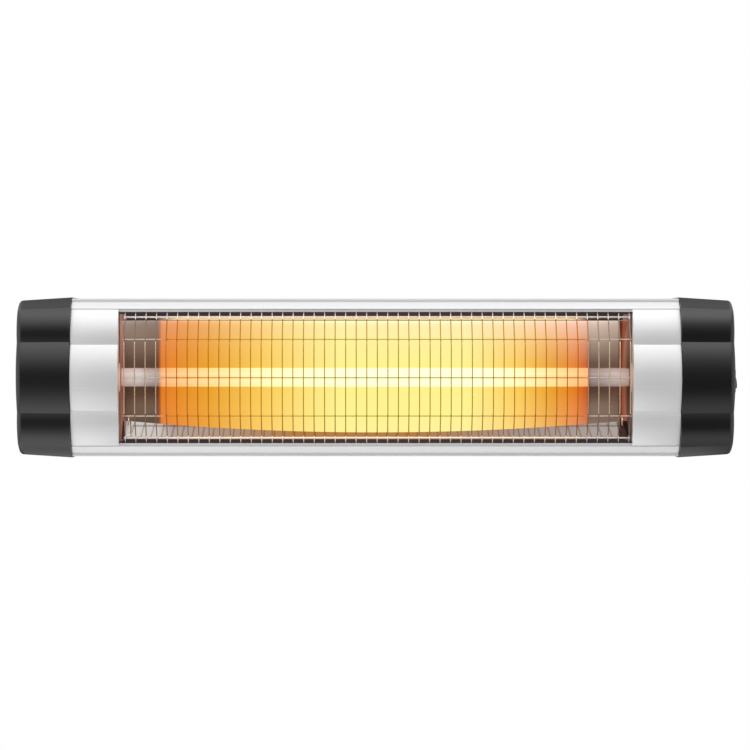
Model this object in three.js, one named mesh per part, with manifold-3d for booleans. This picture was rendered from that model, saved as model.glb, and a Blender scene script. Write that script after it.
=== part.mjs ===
// Wall-mounted electric bar heater with a tilting bracket, in millimetres, +Z up.
// The origin is on the wall, behind the middle of the heater, and the heater faces -Y.
import * as THREE from 'three';
import { mergeVertices } from 'three/addons/utils/BufferGeometryUtils.js';
import Module from 'manifold-3d';

// ---------- Clearances ----------
const restGap = 0.3;
const runningGap = 0.4;
const weld = 0.5;
const overcut = 1;

// ---------- Housing section ----------
const bodyLength = 629;
const bodyHeight = 164;
const bodyDepth = 92;
const bodyWall = 1.8;
const faceCreaseHalf = 34;
const faceCreaseDepth = 5.7;
const sideLobeRadius = 53;
const railHeight = 11;
const seamDepth = 12.6;
const railRadius = 40;
const railTopDepth = 23;
const backCornerDepth = 30;
const backCornerHeight = 20;
const backCornerRadius = 30;
const lipHeight = 3.1;
const lipThickness = 2;
const grooveWidth = 2.4;
const grooveRibThickness = 1.4;
const grooveRibHeight = 11;
const portDepth = 46;
const portInset = 10;
const portRadius = 4.2;
const portWebThickness = 2;

// ---------- Front panels ----------
const panelThickness = 1.2;
const panelWidth = 49.3;
const panelReturn = 1.5;

// ---------- End caps ----------
const capLength = 56;
const capWall = 2.5;
const capProud = 1.2;
const capDraft = 3.1;
const capRound = 6;
const capCreaseHalf = 36.5;
const endPlateThickness = 1.5;
const capRoundSteps = 3;
const postRadius = 5;
const capScrewRadius = 2;
const capScrewHeadRadius = 4;
const capScrewHeadHeight = 2.6;
const screwTipTaper = 0.6;
const screwCrown = 0.7;
const screwHeadEdge = 0.55;
const screwSlotArm = 0.62;
const screwSlotWidth = 0.24;
const screwSlotFloor = 0.45;
const capScrewReach = 14;
const screwRecessDepth = 5;

// ---------- Reflector ----------
const reflectorThickness = 0.8;
const reflectorLift = 4.8;
const reflectorFrontDepth = 20;
const reflectorBowl = 42;
const reflectorSlopeHeight = 13.4;
const reflectorEdgeDepth = 24;
const reflectorEdgeDrop = 0.3;
const reflectorArcLift = 1.2;
const reflectorArcRise = 12;
const reflectorEndInset = 1.2;
const reflectorEndThickness = 0.8;
const reflectorEndRoom = 16;
const reflectorEndFront = 18;
const footLength = 8;
const footThickness = 0.8;
const footHalf = 30;
const shelfThickness = 0.8;
const shelfBackDepth = 50.5;
const shelfRise = 17.7;
const shelfFrontDepth = 19.5;
const shelfFrontInset = 4.4;
const clipWidth = 4;
const clipThickness = 0.7;
const clipSeat = 9;
const clipLean = 1;
const clipKnee = 3;
const clipHook = 2.6;
const clipHeight = 7.5;
const clipInset = 9;
const staySpacing = 260;
const stayWidth = 24;
const stayThickness = 1;
const stayFoot = 14;

// ---------- Lamp ----------
const lampDepth = 35;
const tubeRadius = 9.75;
const tubeWall = 1.2;
const tubeProud = 1.5;
const tubeHoleGap = 1.2;
const lampCapRadius = 15;
const lampCapThickness = 6;
const lampSpigotLength = 7;
const lampCapOut = 3.5;
const filamentInset = 39.5;
const filamentWidth = 6;
const filamentThickness = 0.8;
const filamentLeadRadius = 0.9;
const lampBracketThickness = 1.2;
const lampBracketHalf = 17;
const lampBracketFront = 22;
const lampBracketFoot = 15;
const lampLeadHole = 6.7;

// ---------- Guard ----------
const guardWirePitch = 10.885;
const guardEndGap = 2;
const guardWire = 1.4;
const guardRail = 2.5;
const guardWeld = 0.4;
const guardRailInset = 5.6;
const guardThinRailHalf = 39.5;
const guardFrontDepth = 6.2;
const guardBendHalf = 35;
const guardHookInset = 1.9;
const guardHookReach = 3.6;

// ---------- Rocker switch, in the right cap ----------
const switchDepth = 22.5;
const switchHeight = -3.5;
const bezelHeight = 25;
const bezelWidth = 16;
const bezelProud = 2.2;
const switchBodyHeight = 21;
const switchBodyWidth = 12.6;
const switchBodyLength = 17;
const switchWall = 1.3;
const rockerHeight = 17.4;
const rockerWidth = 9.2;
const rockerDrop = 3.6;
const rockerTilt = 9;
const rockerCrown = 4;
const rockerShoulder = 2.5;
const rockerHeel = 1.2;
const switchWellDepth = 6.6;
const switchTabLength = 6;
const switchTabWidth = 4;
const switchTabThickness = 0.8;
const switchTabSpacing = 7;

// ---------- Wiring ----------
const wireRadius = 1.6;
const terminalLength = 26;
const terminalHeight = 34;
const terminalWidth = 17;
const terminalCentreHeight = -38;
const terminalDepth = 62;
const terminalWays = 3;
const terminalBore = 3.4;
const terminalEntry = 6;
const terminalEntryDepth = 3;
const earthScrewRadius = 2;
const earthScrewLength = 6;
const earthScrewHeadRadius = 3.8;
const earthScrewHeadHeight = 2.4;
const earthScrewDepth = 30;
const earthScrewHeight = -50;
const grommetRadius = 6;
const grommetBore = 2.4;
const grommetFlange = 1.6;
const grommetLap = 2;
const leadStub = 5;
const tabStub = 4;
const grommetRun = 9;
const clampRun = 9;
const leadRunStart = 16;
const leadFromBack = 12;
const leadSweep = 17;
const returnSweep = 23.5;
const leadExitHeight = 48;
const returnExitHeight = -8;
const glandOut = 28;
const glandHeight = -34;
const glandThreadRadius = 7.7;
const glandBoreRadius = 4.6;
const glandHexRadius = 11;
const glandHexLength = 5;
const glandThreadLength = 15;
const glandDomeLength = 13;
const glandNutLength = 5;
const glandDomeRadius = 9.5;
const glandDomeStraight = 9;
const glandMouthRadius = 6.4;
const glandPadRadius = 13;
const glandPadThickness = 6.5;

// ---------- Wall bracket and tilt joint ----------
const pivotOut = 35;
const pivotToBack = 23;
const bracketThickness = 2.5;
const bracketWidth = 64;
const bracketHeight = 116;
const earRadius = 14;
const earRootHalf = 34;
const slotSpacing = 84;
const slotHalfWidth = 2.9;
const slotHalfLength = 5;
const washerThickness = 1;
const washerRadius = 9;
const yokeThickness = 2.5;
const yokeHeight = 60;
const yokeEarRootHalf = 25.5;
const yokeEarRadius = 11.2;
const yokeScrewSpacing = 40;
const yokeScrewRadius = 2.4;
const yokeScrewHeadRadius = 4.6;
const yokeScrewHeadHeight = 2.8;
const yokeScrewLength = 9;
const boltRadius = 3;
const boltHeadRadius = 5.6;
const boltHeadHeight = 4.2;
const boltLength = 26;
const knobRadius = 14;
const knobLength = 16;
const knobHubRadius = 8;
const knobHubLength = 4;
const knobLobes = 5;
const knobScallop = 2;

// ---------- Places worked out from the sizes ----------
const bodyHalfLength = bodyLength / 2;
const bodyHalfHeight = bodyHeight / 2;
const faceY = -pivotToBack - bodyDepth;
const at = (depth) => faceY + depth;
const backInnerDepth = bodyDepth - bodyWall;
const topFaceEndDepth = bodyDepth - backCornerDepth;
const backFaceHalf = bodyHalfHeight - backCornerHeight;
const seamHalf = bodyHalfHeight - railHeight;
const lipTipHalf = seamHalf - lipHeight;
const endPlateX = bodyHalfLength + restGap;
const capMouthX = bodyHalfLength + restGap;
const capEndX = capMouthX + capLength;
const capInnerEndX = capEndX - capWall;
const postStartX = endPlateX + endPlateThickness + restGap;
const portHeight = bodyHalfHeight - portInset;
const capScrewHole = capScrewRadius + restGap;
const screwSeatX = capEndX - screwRecessDepth;
const panelInnerX = bodyHalfLength - panelWidth;
const shelfFrontHalf = lipTipHalf - shelfFrontInset;
const shelfBackHalf = shelfFrontHalf - shelfRise;
const reflectorHalf = shelfFrontHalf - reflectorLift;
const reflectorLowerHalf = reflectorHalf - reflectorSlopeHeight;
const reflectorEdgeHalf = reflectorHalf + reflectorEdgeDrop;
const reflectorArcLow = reflectorHalf - reflectorArcLift;
const reflectorEndX = panelInnerX - reflectorEndInset;
const reflectorEndHalf = bodyHalfHeight - reflectorEndRoom;
const tubeLength = 2 * (reflectorEndX + tubeProud);
const filamentLength = tubeLength - 2 * filamentInset;
const lampCapX = reflectorEndX + lampCapOut;
const lampBracketX = lampCapX + lampCapThickness + restGap;
const guardSideWires = Math.floor((panelInnerX - guardEndGap) / guardWirePitch);
const guardRailHalf = lipTipHalf - guardRailInset;
const guardHookHalf = lipTipHalf - guardHookInset;
const leadExitDepth = bodyDepth - leadFromBack;

const silver = { color: 0xd4d5d8, roughness: 0.32, metalness: 0.9 };
const satinBlack = { color: 0x1d1e21, roughness: 0.45, metalness: 0.0 };
const glossBlack = { color: 0x0b0b0c, roughness: 0.2, metalness: 0.0 };
const mirrorSteel = { color: 0xd8a066, roughness: 0.14, metalness: 1.0 };
const chromeWire = { color: 0xc9c6c2, roughness: 0.2, metalness: 1.0 };
const zincSteel = { color: 0xb4b6b8, roughness: 0.4, metalness: 0.9 };
const blackSteel = { color: 0x2a2b2d, roughness: 0.5, metalness: 0.4 };
const ceramicWhite = { color: 0xe6d8cc, roughness: 0.6, metalness: 0.0 };
const quartz = { color: 0xfbe3b0, roughness: 0.15, metalness: 0.0 };
const carbon = { color: 0xffa640, roughness: 0.8, metalness: 0.0 };
const creamPlastic = { color: 0xe8e4d6, roughness: 0.5, metalness: 0.0 };
const redSilicone = { color: 0x9a3a2c, roughness: 0.6, metalness: 0.0 };
const whiteSilicone = { color: 0xdedcd4, roughness: 0.6, metalness: 0.0 };
const earthGreen = { color: 0x5a8f2e, roughness: 0.6, metalness: 0.0 };
const greySilicone = { color: 0x77797c, roughness: 0.7, metalness: 0.0 };

const wasm = await Module();
wasm.setup();

// ---------- Solids: joining and cutting ----------
function toSolid(geometry) {
  const bare = geometry.clone();
  bare.deleteAttribute('normal');
  bare.deleteAttribute('uv');
  const merged = mergeVertices(bare, 1e-4);
  return new wasm.Manifold(new wasm.Mesh({
    numProp: 3,
    vertProperties: new Float32Array(merged.attributes.position.array),
    triVerts: new Uint32Array(merged.index.array),
  }));
}

function toGeometry(solid) {
  const mesh = solid.getMesh();
  const geometry = new THREE.BufferGeometry();
  geometry.setAttribute('position', new THREE.BufferAttribute(mesh.vertProperties, 3));
  geometry.setIndex(new THREE.BufferAttribute(mesh.triVerts, 1));
  geometry.computeVertexNormals();
  return geometry;
}

function join(...geometries) {
  const joined = geometries.map(toSolid).reduce((sum, next) => sum.add(next));
  return toGeometry(joined);
}

function cut(base, ...tools) {
  const rest = tools.map(toSolid).reduce((left, tool) => left.subtract(tool), toSolid(base));
  return toGeometry(rest);
}

function common(first, second) {
  return toGeometry(toSolid(first).intersect(toSolid(second)));
}

// ---------- Outlines: lists of [y, z] or [x, z] points ----------
const mirrorUp = (points) => points.map(([y, z]) => [y, -z]).reverse();

// Points on the arc of the given radius from one point to another, bulging to the left of the way.
function arc(from, to, radius, steps) {
  const [ax, ay] = from;
  const [bx, by] = to;
  const chord = Math.hypot(bx - ax, by - ay);
  const toCentre = Math.sqrt(Math.max(radius * radius - chord * chord / 4, 0));
  const cx = (ax + bx) / 2 + (by - ay) / chord * toCentre;
  const cy = (ay + by) / 2 - (bx - ax) / chord * toCentre;
  const start = Math.atan2(ay - cy, ax - cx);
  let sweep = Math.atan2(by - cy, bx - cx) - start;
  if (sweep > 0) sweep -= 2 * Math.PI;
  const points = [];
  for (let i = 0; i <= steps; i += 1) {
    const angle = start + sweep * i / steps;
    points.push([cx + radius * Math.cos(angle), cy + radius * Math.sin(angle)]);
  }
  return points;
}

// The same line moved to its left by a distance; ends of an open line move square to it.
function offsetLine(points, distance, closed) {
  const count = points.length;
  return points.map((point, i) => {
    const before = closed || i > 0 ? points[(i + count - 1) % count] : null;
    const after = closed || i < count - 1 ? points[(i + 1) % count] : null;
    const normals = [];
    if (before) normals.push(leftNormal(before, point));
    if (after) normals.push(leftNormal(point, after));
    const nx = normals.reduce((sum, n) => sum + n[0], 0) / normals.length;
    const ny = normals.reduce((sum, n) => sum + n[1], 0) / normals.length;
    const size = nx * nx + ny * ny;
    return [point[0] + nx * distance / size, point[1] + ny * distance / size];
  });
}

function leftNormal([ax, ay], [bx, by]) {
  const length = Math.hypot(bx - ax, by - ay);
  return [-(by - ay) / length, (bx - ax) / length];
}

// A sheet's closed section from the line of its one side, with the sheet on the line's right.
const sheet = (line, thickness) => [...line, ...offsetLine(line, -thickness, false).reverse()];

// ---------- Shapes made solid ----------
const alongX = new THREE.Matrix4().makeBasis(
  new THREE.Vector3(0, 1, 0), new THREE.Vector3(0, 0, 1), new THREE.Vector3(1, 0, 0));
const alongY = new THREE.Matrix4().makeBasis(
  new THREE.Vector3(1, 0, 0), new THREE.Vector3(0, 0, 1), new THREE.Vector3(0, -1, 0));

const shapeOf = (points) => new THREE.Shape(points.map(([a, b]) => new THREE.Vector2(a, b)));

// A [y, z] outline from one x to another.
function prismX(points, x0, x1) {
  const geometry = new THREE.ExtrudeGeometry(shapeOf(points), { depth: x1 - x0, bevelEnabled: false });
  return geometry.applyMatrix4(alongX).translate(x0, 0, 0);
}

// An [x, z] outline from one y to another.
function prismY(points, y0, y1) {
  const geometry = new THREE.ExtrudeGeometry(shapeOf(points), { depth: y1 - y0, bevelEnabled: false });
  return geometry.applyMatrix4(alongY).translate(0, y1, 0);
}

function block(x0, x1, y0, y1, z0, z1) {
  const geometry = new THREE.BoxGeometry(x1 - x0, y1 - y0, z1 - z0);
  return geometry.translate((x0 + x1) / 2, (y0 + y1) / 2, (z0 + z1) / 2);
}

const roundSides = (radius) => (radius < 5 ? 10 : 16);

function rodX(radius, x0, x1, y, z, sides = roundSides(radius)) {
  const geometry = new THREE.CylinderGeometry(radius, radius, x1 - x0, sides);
  return geometry.rotateZ(-Math.PI / 2).translate((x0 + x1) / 2, y, z);
}

function rodY(radius, y0, y1, x, z, sides = roundSides(radius)) {
  const geometry = new THREE.CylinderGeometry(radius, radius, y1 - y0, sides);
  return geometry.translate(x, (y0 + y1) / 2, z);
}

// A turned piece about the X axis from [x, radius] points that start and end on the axis.
function turnedX(profile, sides = 20) {
  const points = profile.map(([x, radius]) => new THREE.Vector2(radius, x));
  return new THREE.LatheGeometry(points, sides).rotateZ(-Math.PI / 2);
}

// A closed skin over rings of [y, z] points, one ring at each x, in rising x.
function loftX(rings) {
  const size = rings[0].points.length;
  const positions = rings.flatMap(({ x, points }) => points.flatMap(([y, z]) => [x, y, z]));
  const index = [];
  for (let ring = 0; ring < rings.length - 1; ring += 1) {
    for (let i = 0; i < size; i += 1) {
      const a = ring * size + i;
      const b = ring * size + (i + 1) % size;
      index.push(a, b, b + size, a, b + size, a + size);
    }
  }
  const flat = rings[0].points.map(([y, z]) => new THREE.Vector2(y, z));
  const lids = THREE.ShapeUtils.triangulateShape(flat, []);
  const lastRing = (rings.length - 1) * size;
  lids.forEach(([a, b, c]) => index.push(a, c, b, lastRing + a, lastRing + b, lastRing + c));
  const geometry = new THREE.BufferGeometry();
  geometry.setAttribute('position', new THREE.Float32BufferAttribute(positions, 3));
  geometry.setIndex(index);
  return geometry;
}

function mirroredX(geometry) {
  const solid = toSolid(geometry).mirror([1, 0, 0]);
  return toGeometry(solid);
}

// A round wire through hand-set points.
function wire(points, radius, steps, sides = 8) {
  const ring = [];
  for (let i = 0; i < sides; i += 1) {
    const angle = 2 * Math.PI * i / sides;
    ring.push([radius * Math.cos(angle), radius * Math.sin(angle)]);
  }
  const path = new THREE.CatmullRomCurve3(points.map((p) => new THREE.Vector3(...p)), false, 'centripetal');
  return new THREE.ExtrudeGeometry(shapeOf(ring), { steps, extrudePath: path, bevelEnabled: false });
}

// ---------- The housing's section ----------
// The front from the middle of the face up to an edge, as [y, z] points.
function halfFace(creaseHalf, edgeHalf, edgeDepth) {
  const middleRadius = (creaseHalf ** 2 + faceCreaseDepth ** 2) / (2 * faceCreaseDepth);
  const crease = [at(faceCreaseDepth), creaseHalf];
  const middle = arc([at(0), 0], crease, middleRadius, 4);
  const side = arc(crease, [at(edgeDepth), edgeHalf], sideLobeRadius, 5);
  return [...middle, ...side.slice(1)];
}

function railAndBack() {
  const rail = arc([at(seamDepth), seamHalf], [at(railTopDepth), bodyHalfHeight], railRadius, 3);
  const corner = arc([at(topFaceEndDepth), bodyHalfHeight], [at(bodyDepth), backFaceHalf],
    backCornerRadius, 4);
  return [...rail, ...corner];
}

// The whole outer section, counter-clockwise seen from +X.
function outerSection(creaseHalf) {
  const face = halfFace(creaseHalf, seamHalf, seamDepth);
  const upper = [...face, ...railAndBack().slice(1)];
  const lower = mirrorUp(upper).slice(0, -1);
  return [...upper, ...lower].reverse();
}

const panelEdgeHalf = seamHalf - restGap;
const panelLine = (() => {
  const upper = halfFace(faceCreaseHalf, panelEdgeHalf, seamDepth);
  return [...mirrorUp(upper).slice(0, -1), ...upper];
})();
const panelInnerLine = offsetLine(panelLine, -panelThickness, false);
const lipDepth = panelInnerLine[0][0] - faceY + restGap;
const grooveRibDepth = lipDepth + lipThickness + grooveWidth;

// ---------- Heater pieces; y = 0 is the tilt axis ----------
function bodyExtrusion() {
  const outer = railAndBack();
  const inner = offsetLine(outer, -bodyWall, false).reverse();
  const backInner = [at(backInnerDepth), inner[0][1]];
  const rootHalf = inner[inner.length - 1][1];
  const lip = [
    [at(lipDepth + lipThickness), rootHalf], [at(lipDepth + lipThickness), lipTipHalf],
    [at(lipDepth), lipTipHalf], [at(lipDepth), seamHalf],
  ];
  const upper = [...lip, ...outer];
  const upperInner = [backInner, ...inner.slice(1, -1)];
  const section = [...upper, ...mirrorUp(upper), ...mirrorUp(upperInner), ...upperInner];
  let shell = prismX(section, -bodyHalfLength, bodyHalfLength);
  const innerTop = bodyHalfHeight - bodyWall / 2;
  for (const side of [1, -1]) {
    const zs = [side * innerTop, side * (bodyHalfHeight - bodyWall - grooveRibHeight)].sort((a, b) => a - b);
    const rib = block(-bodyHalfLength, bodyHalfLength, at(grooveRibDepth),
      at(grooveRibDepth + grooveRibThickness), zs[0], zs[1]);
    const webs = [side * innerTop, side * portHeight].sort((a, b) => a - b);
    const web = block(-bodyHalfLength, bodyHalfLength, at(portDepth) - portWebThickness / 2,
      at(portDepth) + portWebThickness / 2, webs[0], webs[1]);
    const port = rodX(portRadius, -bodyHalfLength, bodyHalfLength, at(portDepth), side * portHeight, 16);
    const bore = rodX(capScrewHole, -bodyHalfLength - 1, bodyHalfLength + 1,
      at(portDepth), side * portHeight, 12);
    shell = cut(join(shell, rib, web, port), bore);
  }
  const backTop = at(backInnerDepth) - 1;
  const screws = [-1, 1].map((side) => rodY(yokeScrewRadius + restGap, backTop, at(bodyDepth) + 1,
    0, side * yokeScrewSpacing / 2));
  return cut(shell, ...screws);
}

function frontPanel() {
  const skin = prismX(sheet(panelLine, panelThickness), panelInnerX, bodyHalfLength);
  const returnDepth = lipDepth + panelReturn;
  const web = prismX([...panelLine, [at(returnDepth), panelEdgeHalf], [at(returnDepth), -panelEdgeHalf]],
    panelInnerX, panelInnerX + panelThickness);
  const between = block(panelInnerX - 1, panelInnerX + panelThickness + 1, at(-1), at(returnDepth + 1),
    -(lipTipHalf - restGap), lipTipHalf - restGap);
  return join(skin, common(web, between));
}

function capSkin(inset) {
  const mouth = outerSection(capCreaseHalf);
  const ring = (x, offset) => ({ x, points: offsetLine(mouth, -(offset - inset), true) });
  const rings = [ring(capMouthX - (inset > 0 ? 1 : 0), capProud)];
  const endX = capEndX - inset;
  for (let i = 0; i <= capRoundSteps; i += 1) {
    const angle = Math.PI / 2 * i / capRoundSteps;
    const x = endX - capRound * (1 - Math.sin(angle));
    rings.push(ring(x, capProud - capDraft - capRound * (1 - Math.cos(angle))));
  }
  return loftX(rings);
}

function endCap() {
  const shell = cut(capSkin(0), capSkin(capWall));
  const posts = [1, -1].map((side) => rodX(postRadius, postStartX, capInnerEndX + capWall / 2,
    at(portDepth), side * portHeight));
  const holes = [1, -1].map((side) => rodX(capScrewHole, postStartX - 1, capEndX + 1,
    at(portDepth), side * portHeight));
  const recesses = [1, -1].map((side) => rodX(capScrewHeadRadius + restGap, screwSeatX, capEndX + 1,
    at(portDepth), side * portHeight));
  return cut(join(shell, ...posts), ...holes, ...recesses);
}

const switchY = at(switchDepth);
const switchCut = block(capInnerEndX - 2, capEndX + 1, switchY - switchBodyWidth / 2 - restGap,
  switchY + switchBodyWidth / 2 + restGap, switchHeight - switchBodyHeight / 2 - restGap,
  switchHeight + switchBodyHeight / 2 + restGap);
const glandX = capMouthX + glandOut;

function rightCap() {
  const padOuter = at(bodyDepth + capProud);
  const padInner = padOuter - glandPadThickness;
  const pad = rodY(glandPadRadius, padInner, padOuter, glandX, glandHeight, 24);
  const hole = rodY(glandThreadRadius + restGap, padInner - 1, padOuter + 1, glandX, glandHeight);
  return cut(join(endCap(), pad), switchCut, hole);
}

function endPlateBlank() {
  const outline = offsetLine(outerSection(capCreaseHalf), -(capProud - capWall - restGap), true);
  const plate = prismX(outline, endPlateX, endPlateX + endPlateThickness);
  const holes = [1, -1].map((side) => rodX(capScrewHole, endPlateX - 1, endPlateX + endPlateThickness + 1,
    at(portDepth), side * portHeight));
  return cut(plate, ...holes);
}

const plateHole = (radius, depth, z) => rodX(radius, endPlateX - 1, endPlateX + endPlateThickness + 1,
  at(depth), z);
const rightPlate = () => cut(endPlateBlank(),
  plateHole(grommetRadius + restGap, leadExitDepth, leadExitHeight),
  plateHole(grommetRadius + restGap, leadExitDepth, returnExitHeight),
  plateHole(earthScrewRadius + restGap, earthScrewDepth, earthScrewHeight));

function grommet(z) {
  const inner = endPlateX - restGap;
  const outer = endPlateX + endPlateThickness + restGap;
  const flangeRadius = grommetRadius + grommetLap;
  const profile = [
    [inner - grommetFlange, grommetBore], [inner - grommetFlange, flangeRadius], [inner, flangeRadius],
    [inner, grommetRadius], [outer, grommetRadius], [outer, flangeRadius],
    [outer + grommetFlange, flangeRadius], [outer + grommetFlange, grommetBore],
    [inner - grommetFlange, grommetBore],
  ];
  return turnedX(profile, 12).translate(0, at(leadExitDepth), z);
}

// Reflector: half an ellipse above, and below it a straight slope to an arched lower edge.
function reflector() {
  const line = [];
  const steps = 14;
  const lastAngle = Math.acos(-reflectorLowerHalf / reflectorHalf);
  for (let i = 0; i <= steps; i += 1) {
    const angle = lastAngle * (1 - i / steps);
    line.push([at(reflectorFrontDepth + reflectorBowl * Math.sin(angle)), reflectorHalf * Math.cos(angle)]);
  }
  line.unshift([at(reflectorEdgeDepth), -reflectorEdgeHalf]);
  const half = reflectorEndX - restGap;
  const bowl = prismX(sheet(line, reflectorThickness), -half, half);
  const arcRadius = (reflectorEndX ** 2 + reflectorArcRise ** 2) / (2 * reflectorArcRise);
  const edge = arc([-reflectorEndX, -reflectorArcLow + reflectorArcRise],
    [reflectorEndX, -reflectorArcLow + reflectorArcRise], arcRadius, 20)
    .map(([x, z]) => [x, 2 * (-reflectorArcLow + reflectorArcRise) - z]);
  const below = [...edge, [reflectorEndX, -bodyHalfHeight], [-reflectorEndX, -bodyHalfHeight]];
  return cut(bowl, prismY(below, at(0), at(bodyDepth)));
}

const shelfSlope = Math.hypot(shelfBackDepth - shelfFrontDepth, shelfFrontHalf - shelfBackHalf);

function shelf() {
  const line = [[at(shelfFrontDepth), -shelfFrontHalf], [at(shelfBackDepth), -shelfBackHalf]];
  const half = reflectorEndX - restGap;
  return prismX(sheet(line, shelfThickness), -half, half);
}

function reflectorEnd() {
  const outer = reflectorEndX + reflectorEndThickness;
  const footDepth = backInnerDepth - restGap;
  const outline = [
    [at(reflectorEndFront), -reflectorEndHalf], [at(topFaceEndDepth), -reflectorEndHalf],
    [at(footDepth), -footHalf], [at(footDepth), footHalf],
    [at(topFaceEndDepth), reflectorEndHalf], [at(reflectorEndFront), reflectorEndHalf],
  ];
  const plate = prismX(outline, reflectorEndX, outer);
  const foot = block(reflectorEndX, outer + footLength, at(footDepth - footThickness), at(footDepth),
    -footHalf, footHalf);
  const hole = rodX(tubeRadius + tubeHoleGap, reflectorEndX - 1, outer + 1, at(lampDepth), 0, 24);
  return cut(join(plate, foot), hole);
}

// A spring clip that hooks the bowl's lower corner down to the shelf.
function reflectorClip() {
  const slope = [(shelfBackDepth - shelfFrontDepth) / shelfSlope,
    (shelfFrontHalf - shelfBackHalf) / shelfSlope];
  const foot = [at(shelfBackDepth - clipSeat * slope[0]) - 2 * restGap,
    -shelfBackHalf - clipSeat * slope[1] + 2 * restGap];
  const knee = [foot[0] + clipLean, foot[1] + clipKnee];
  const line = [foot, knee, [knee[0] - clipHook, foot[1] + clipHeight]];
  return prismX(sheet(line, -clipThickness), -clipWidth / 2, clipWidth / 2);
}

function reflectorStay() {
  const top = at(reflectorFrontDepth + reflectorBowl + reflectorThickness + 2 * restGap);
  const bottom = at(backInnerDepth - restGap);
  const line = [
    [top, -stayFoot], [top, 0], [bottom - stayThickness, 0], [bottom - stayThickness, stayFoot],
  ];
  return prismX(sheet(line, stayThickness), -stayWidth / 2, stayWidth / 2);
}

// ---------- Lamp pieces, along X through their own origin ----------
function quartzTube() {
  const half = tubeLength / 2;
  const inner = tubeRadius - tubeWall;
  return turnedX([
    [-half, inner], [-half, tubeRadius], [half, tubeRadius], [half, inner], [-half, inner],
  ], 24);
}

function filament() {
  const half = filamentLength / 2;
  const leadEnd = lampCapX - lampSpigotLength - restGap;
  const ribbon = block(-half, half, -filamentThickness / 2, filamentThickness / 2,
    -filamentWidth / 2, filamentWidth / 2);
  return join(ribbon, rodX(filamentLeadRadius, -leadEnd, leadEnd, 0, 0, 10));
}

function lampCap() {
  const spigot = tubeRadius - tubeWall - restGap;
  return turnedX([
    [lampCapX - lampSpigotLength, 0], [lampCapX - lampSpigotLength, spigot], [lampCapX, spigot],
    [lampCapX, lampCapRadius], [lampCapX + lampCapThickness, lampCapRadius],
    [lampCapX + lampCapThickness, 0],
  ], 20);
}

function lampBracket() {
  const outer = lampBracketX + lampBracketThickness;
  const footDepth = backInnerDepth - restGap;
  const plate = block(lampBracketX, outer, at(lampBracketFront), at(footDepth),
    -lampBracketHalf, lampBracketHalf);
  const foot = block(lampBracketX, outer + lampBracketFoot, at(footDepth - lampBracketThickness),
    at(footDepth), -lampBracketHalf, lampBracketHalf);
  const hole = rodX(lampLeadHole, lampBracketX - 1, outer + 1, at(lampDepth), 0);
  return cut(join(plate, foot), hole);
}

// ---------- Guard ----------
function guardGrille() {
  const hookDepth = lipDepth + lipThickness + grooveWidth / 2;
  const half = guardWire / 2;
  const up = [
    [at(guardFrontDepth), guardBendHalf], [at(hookDepth), guardHookHalf],
    [at(hookDepth), guardHookHalf + guardHookReach],
  ];
  const line = offsetLine([...mirrorUp(up), ...up], half, false);
  const section = sheet(line, guardWire);
  const solids = [];
  for (let i = -guardSideWires; i <= guardSideWires; i += 1) {
    const x = i * guardWirePitch;
    solids.push(toSolid(prismX(section, x - half, x + half)));
  }
  const railEnd = guardSideWires * guardWirePitch + guardWire;
  const slope = (hookDepth - guardFrontDepth) / (guardHookHalf - guardBendHalf);
  const depthAt = (z) => guardFrontDepth + Math.max(Math.abs(z) - guardBendHalf, 0) * slope;
  for (const z of [-guardThinRailHalf, 0, guardThinRailHalf]) {
    const front = at(depthAt(z) + half - guardWeld);
    solids.push(toSolid(block(-railEnd, railEnd, front, front + guardWire, z - half, z + half)));
  }
  for (const z of [-guardRailHalf, guardRailHalf]) {
    const front = at(depthAt(z) + half - guardWeld);
    solids.push(toSolid(block(-railEnd, railEnd, front, front + guardRail,
      z - guardRail / 2, z + guardRail / 2)));
  }
  return toGeometry(wasm.Manifold.union(solids));
}

// ---------- Switch; its own x = 0 is the cap's outer face ----------
function switchHousing() {
  const bodyY = switchBodyWidth / 2;
  const bodyZ = switchBodyHeight / 2;
  const bezel = block(restGap, bezelProud, -bezelWidth / 2, bezelWidth / 2,
    -bezelHeight / 2, bezelHeight / 2);
  const box = block(-switchBodyLength, restGap + weld, -bodyY, bodyY, -bodyZ, bodyZ);
  const well = block(-switchWellDepth, bezelProud + overcut, -rockerWidth / 2 - runningGap,
    rockerWidth / 2 + runningGap, -rockerHeight / 2 - switchWall / 2, rockerHeight / 2 + switchWall / 2);
  const tabs = [-1, 0, 1].map((side) => {
    const z = side * switchTabSpacing;
    return block(-switchBodyLength - switchTabLength, -switchBodyLength + 1, -switchTabWidth / 2,
      switchTabWidth / 2, z - switchTabThickness / 2, z + switchTabThickness / 2);
  });
  return cut(join(bezel, box, ...tabs), well);
}

// The rocker's side view is a convex top over a rounded heel; it turns about its own Y axis.
function rocker() {
  const half = rockerHeight / 2;
  const upper = [
    [half * 0.5, -rockerDrop], [half, -rockerDrop + rockerHeel], [half, rockerShoulder - 2],
    [half * 0.92, rockerShoulder - 0.6], [half * 0.55, rockerCrown - 0.5], [half * 0.2, rockerCrown],
  ];
  const outline = [...upper, ...upper.map(([z, x]) => [-z, x]).reverse()];
  const shape = shapeOf(outline.map(([z, x]) => [x, z]));
  const geometry = new THREE.ExtrudeGeometry(shape, { depth: rockerWidth, bevelEnabled: false });
  return geometry.applyMatrix4(alongY).translate(0, rockerWidth / 2, 0);
}

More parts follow.
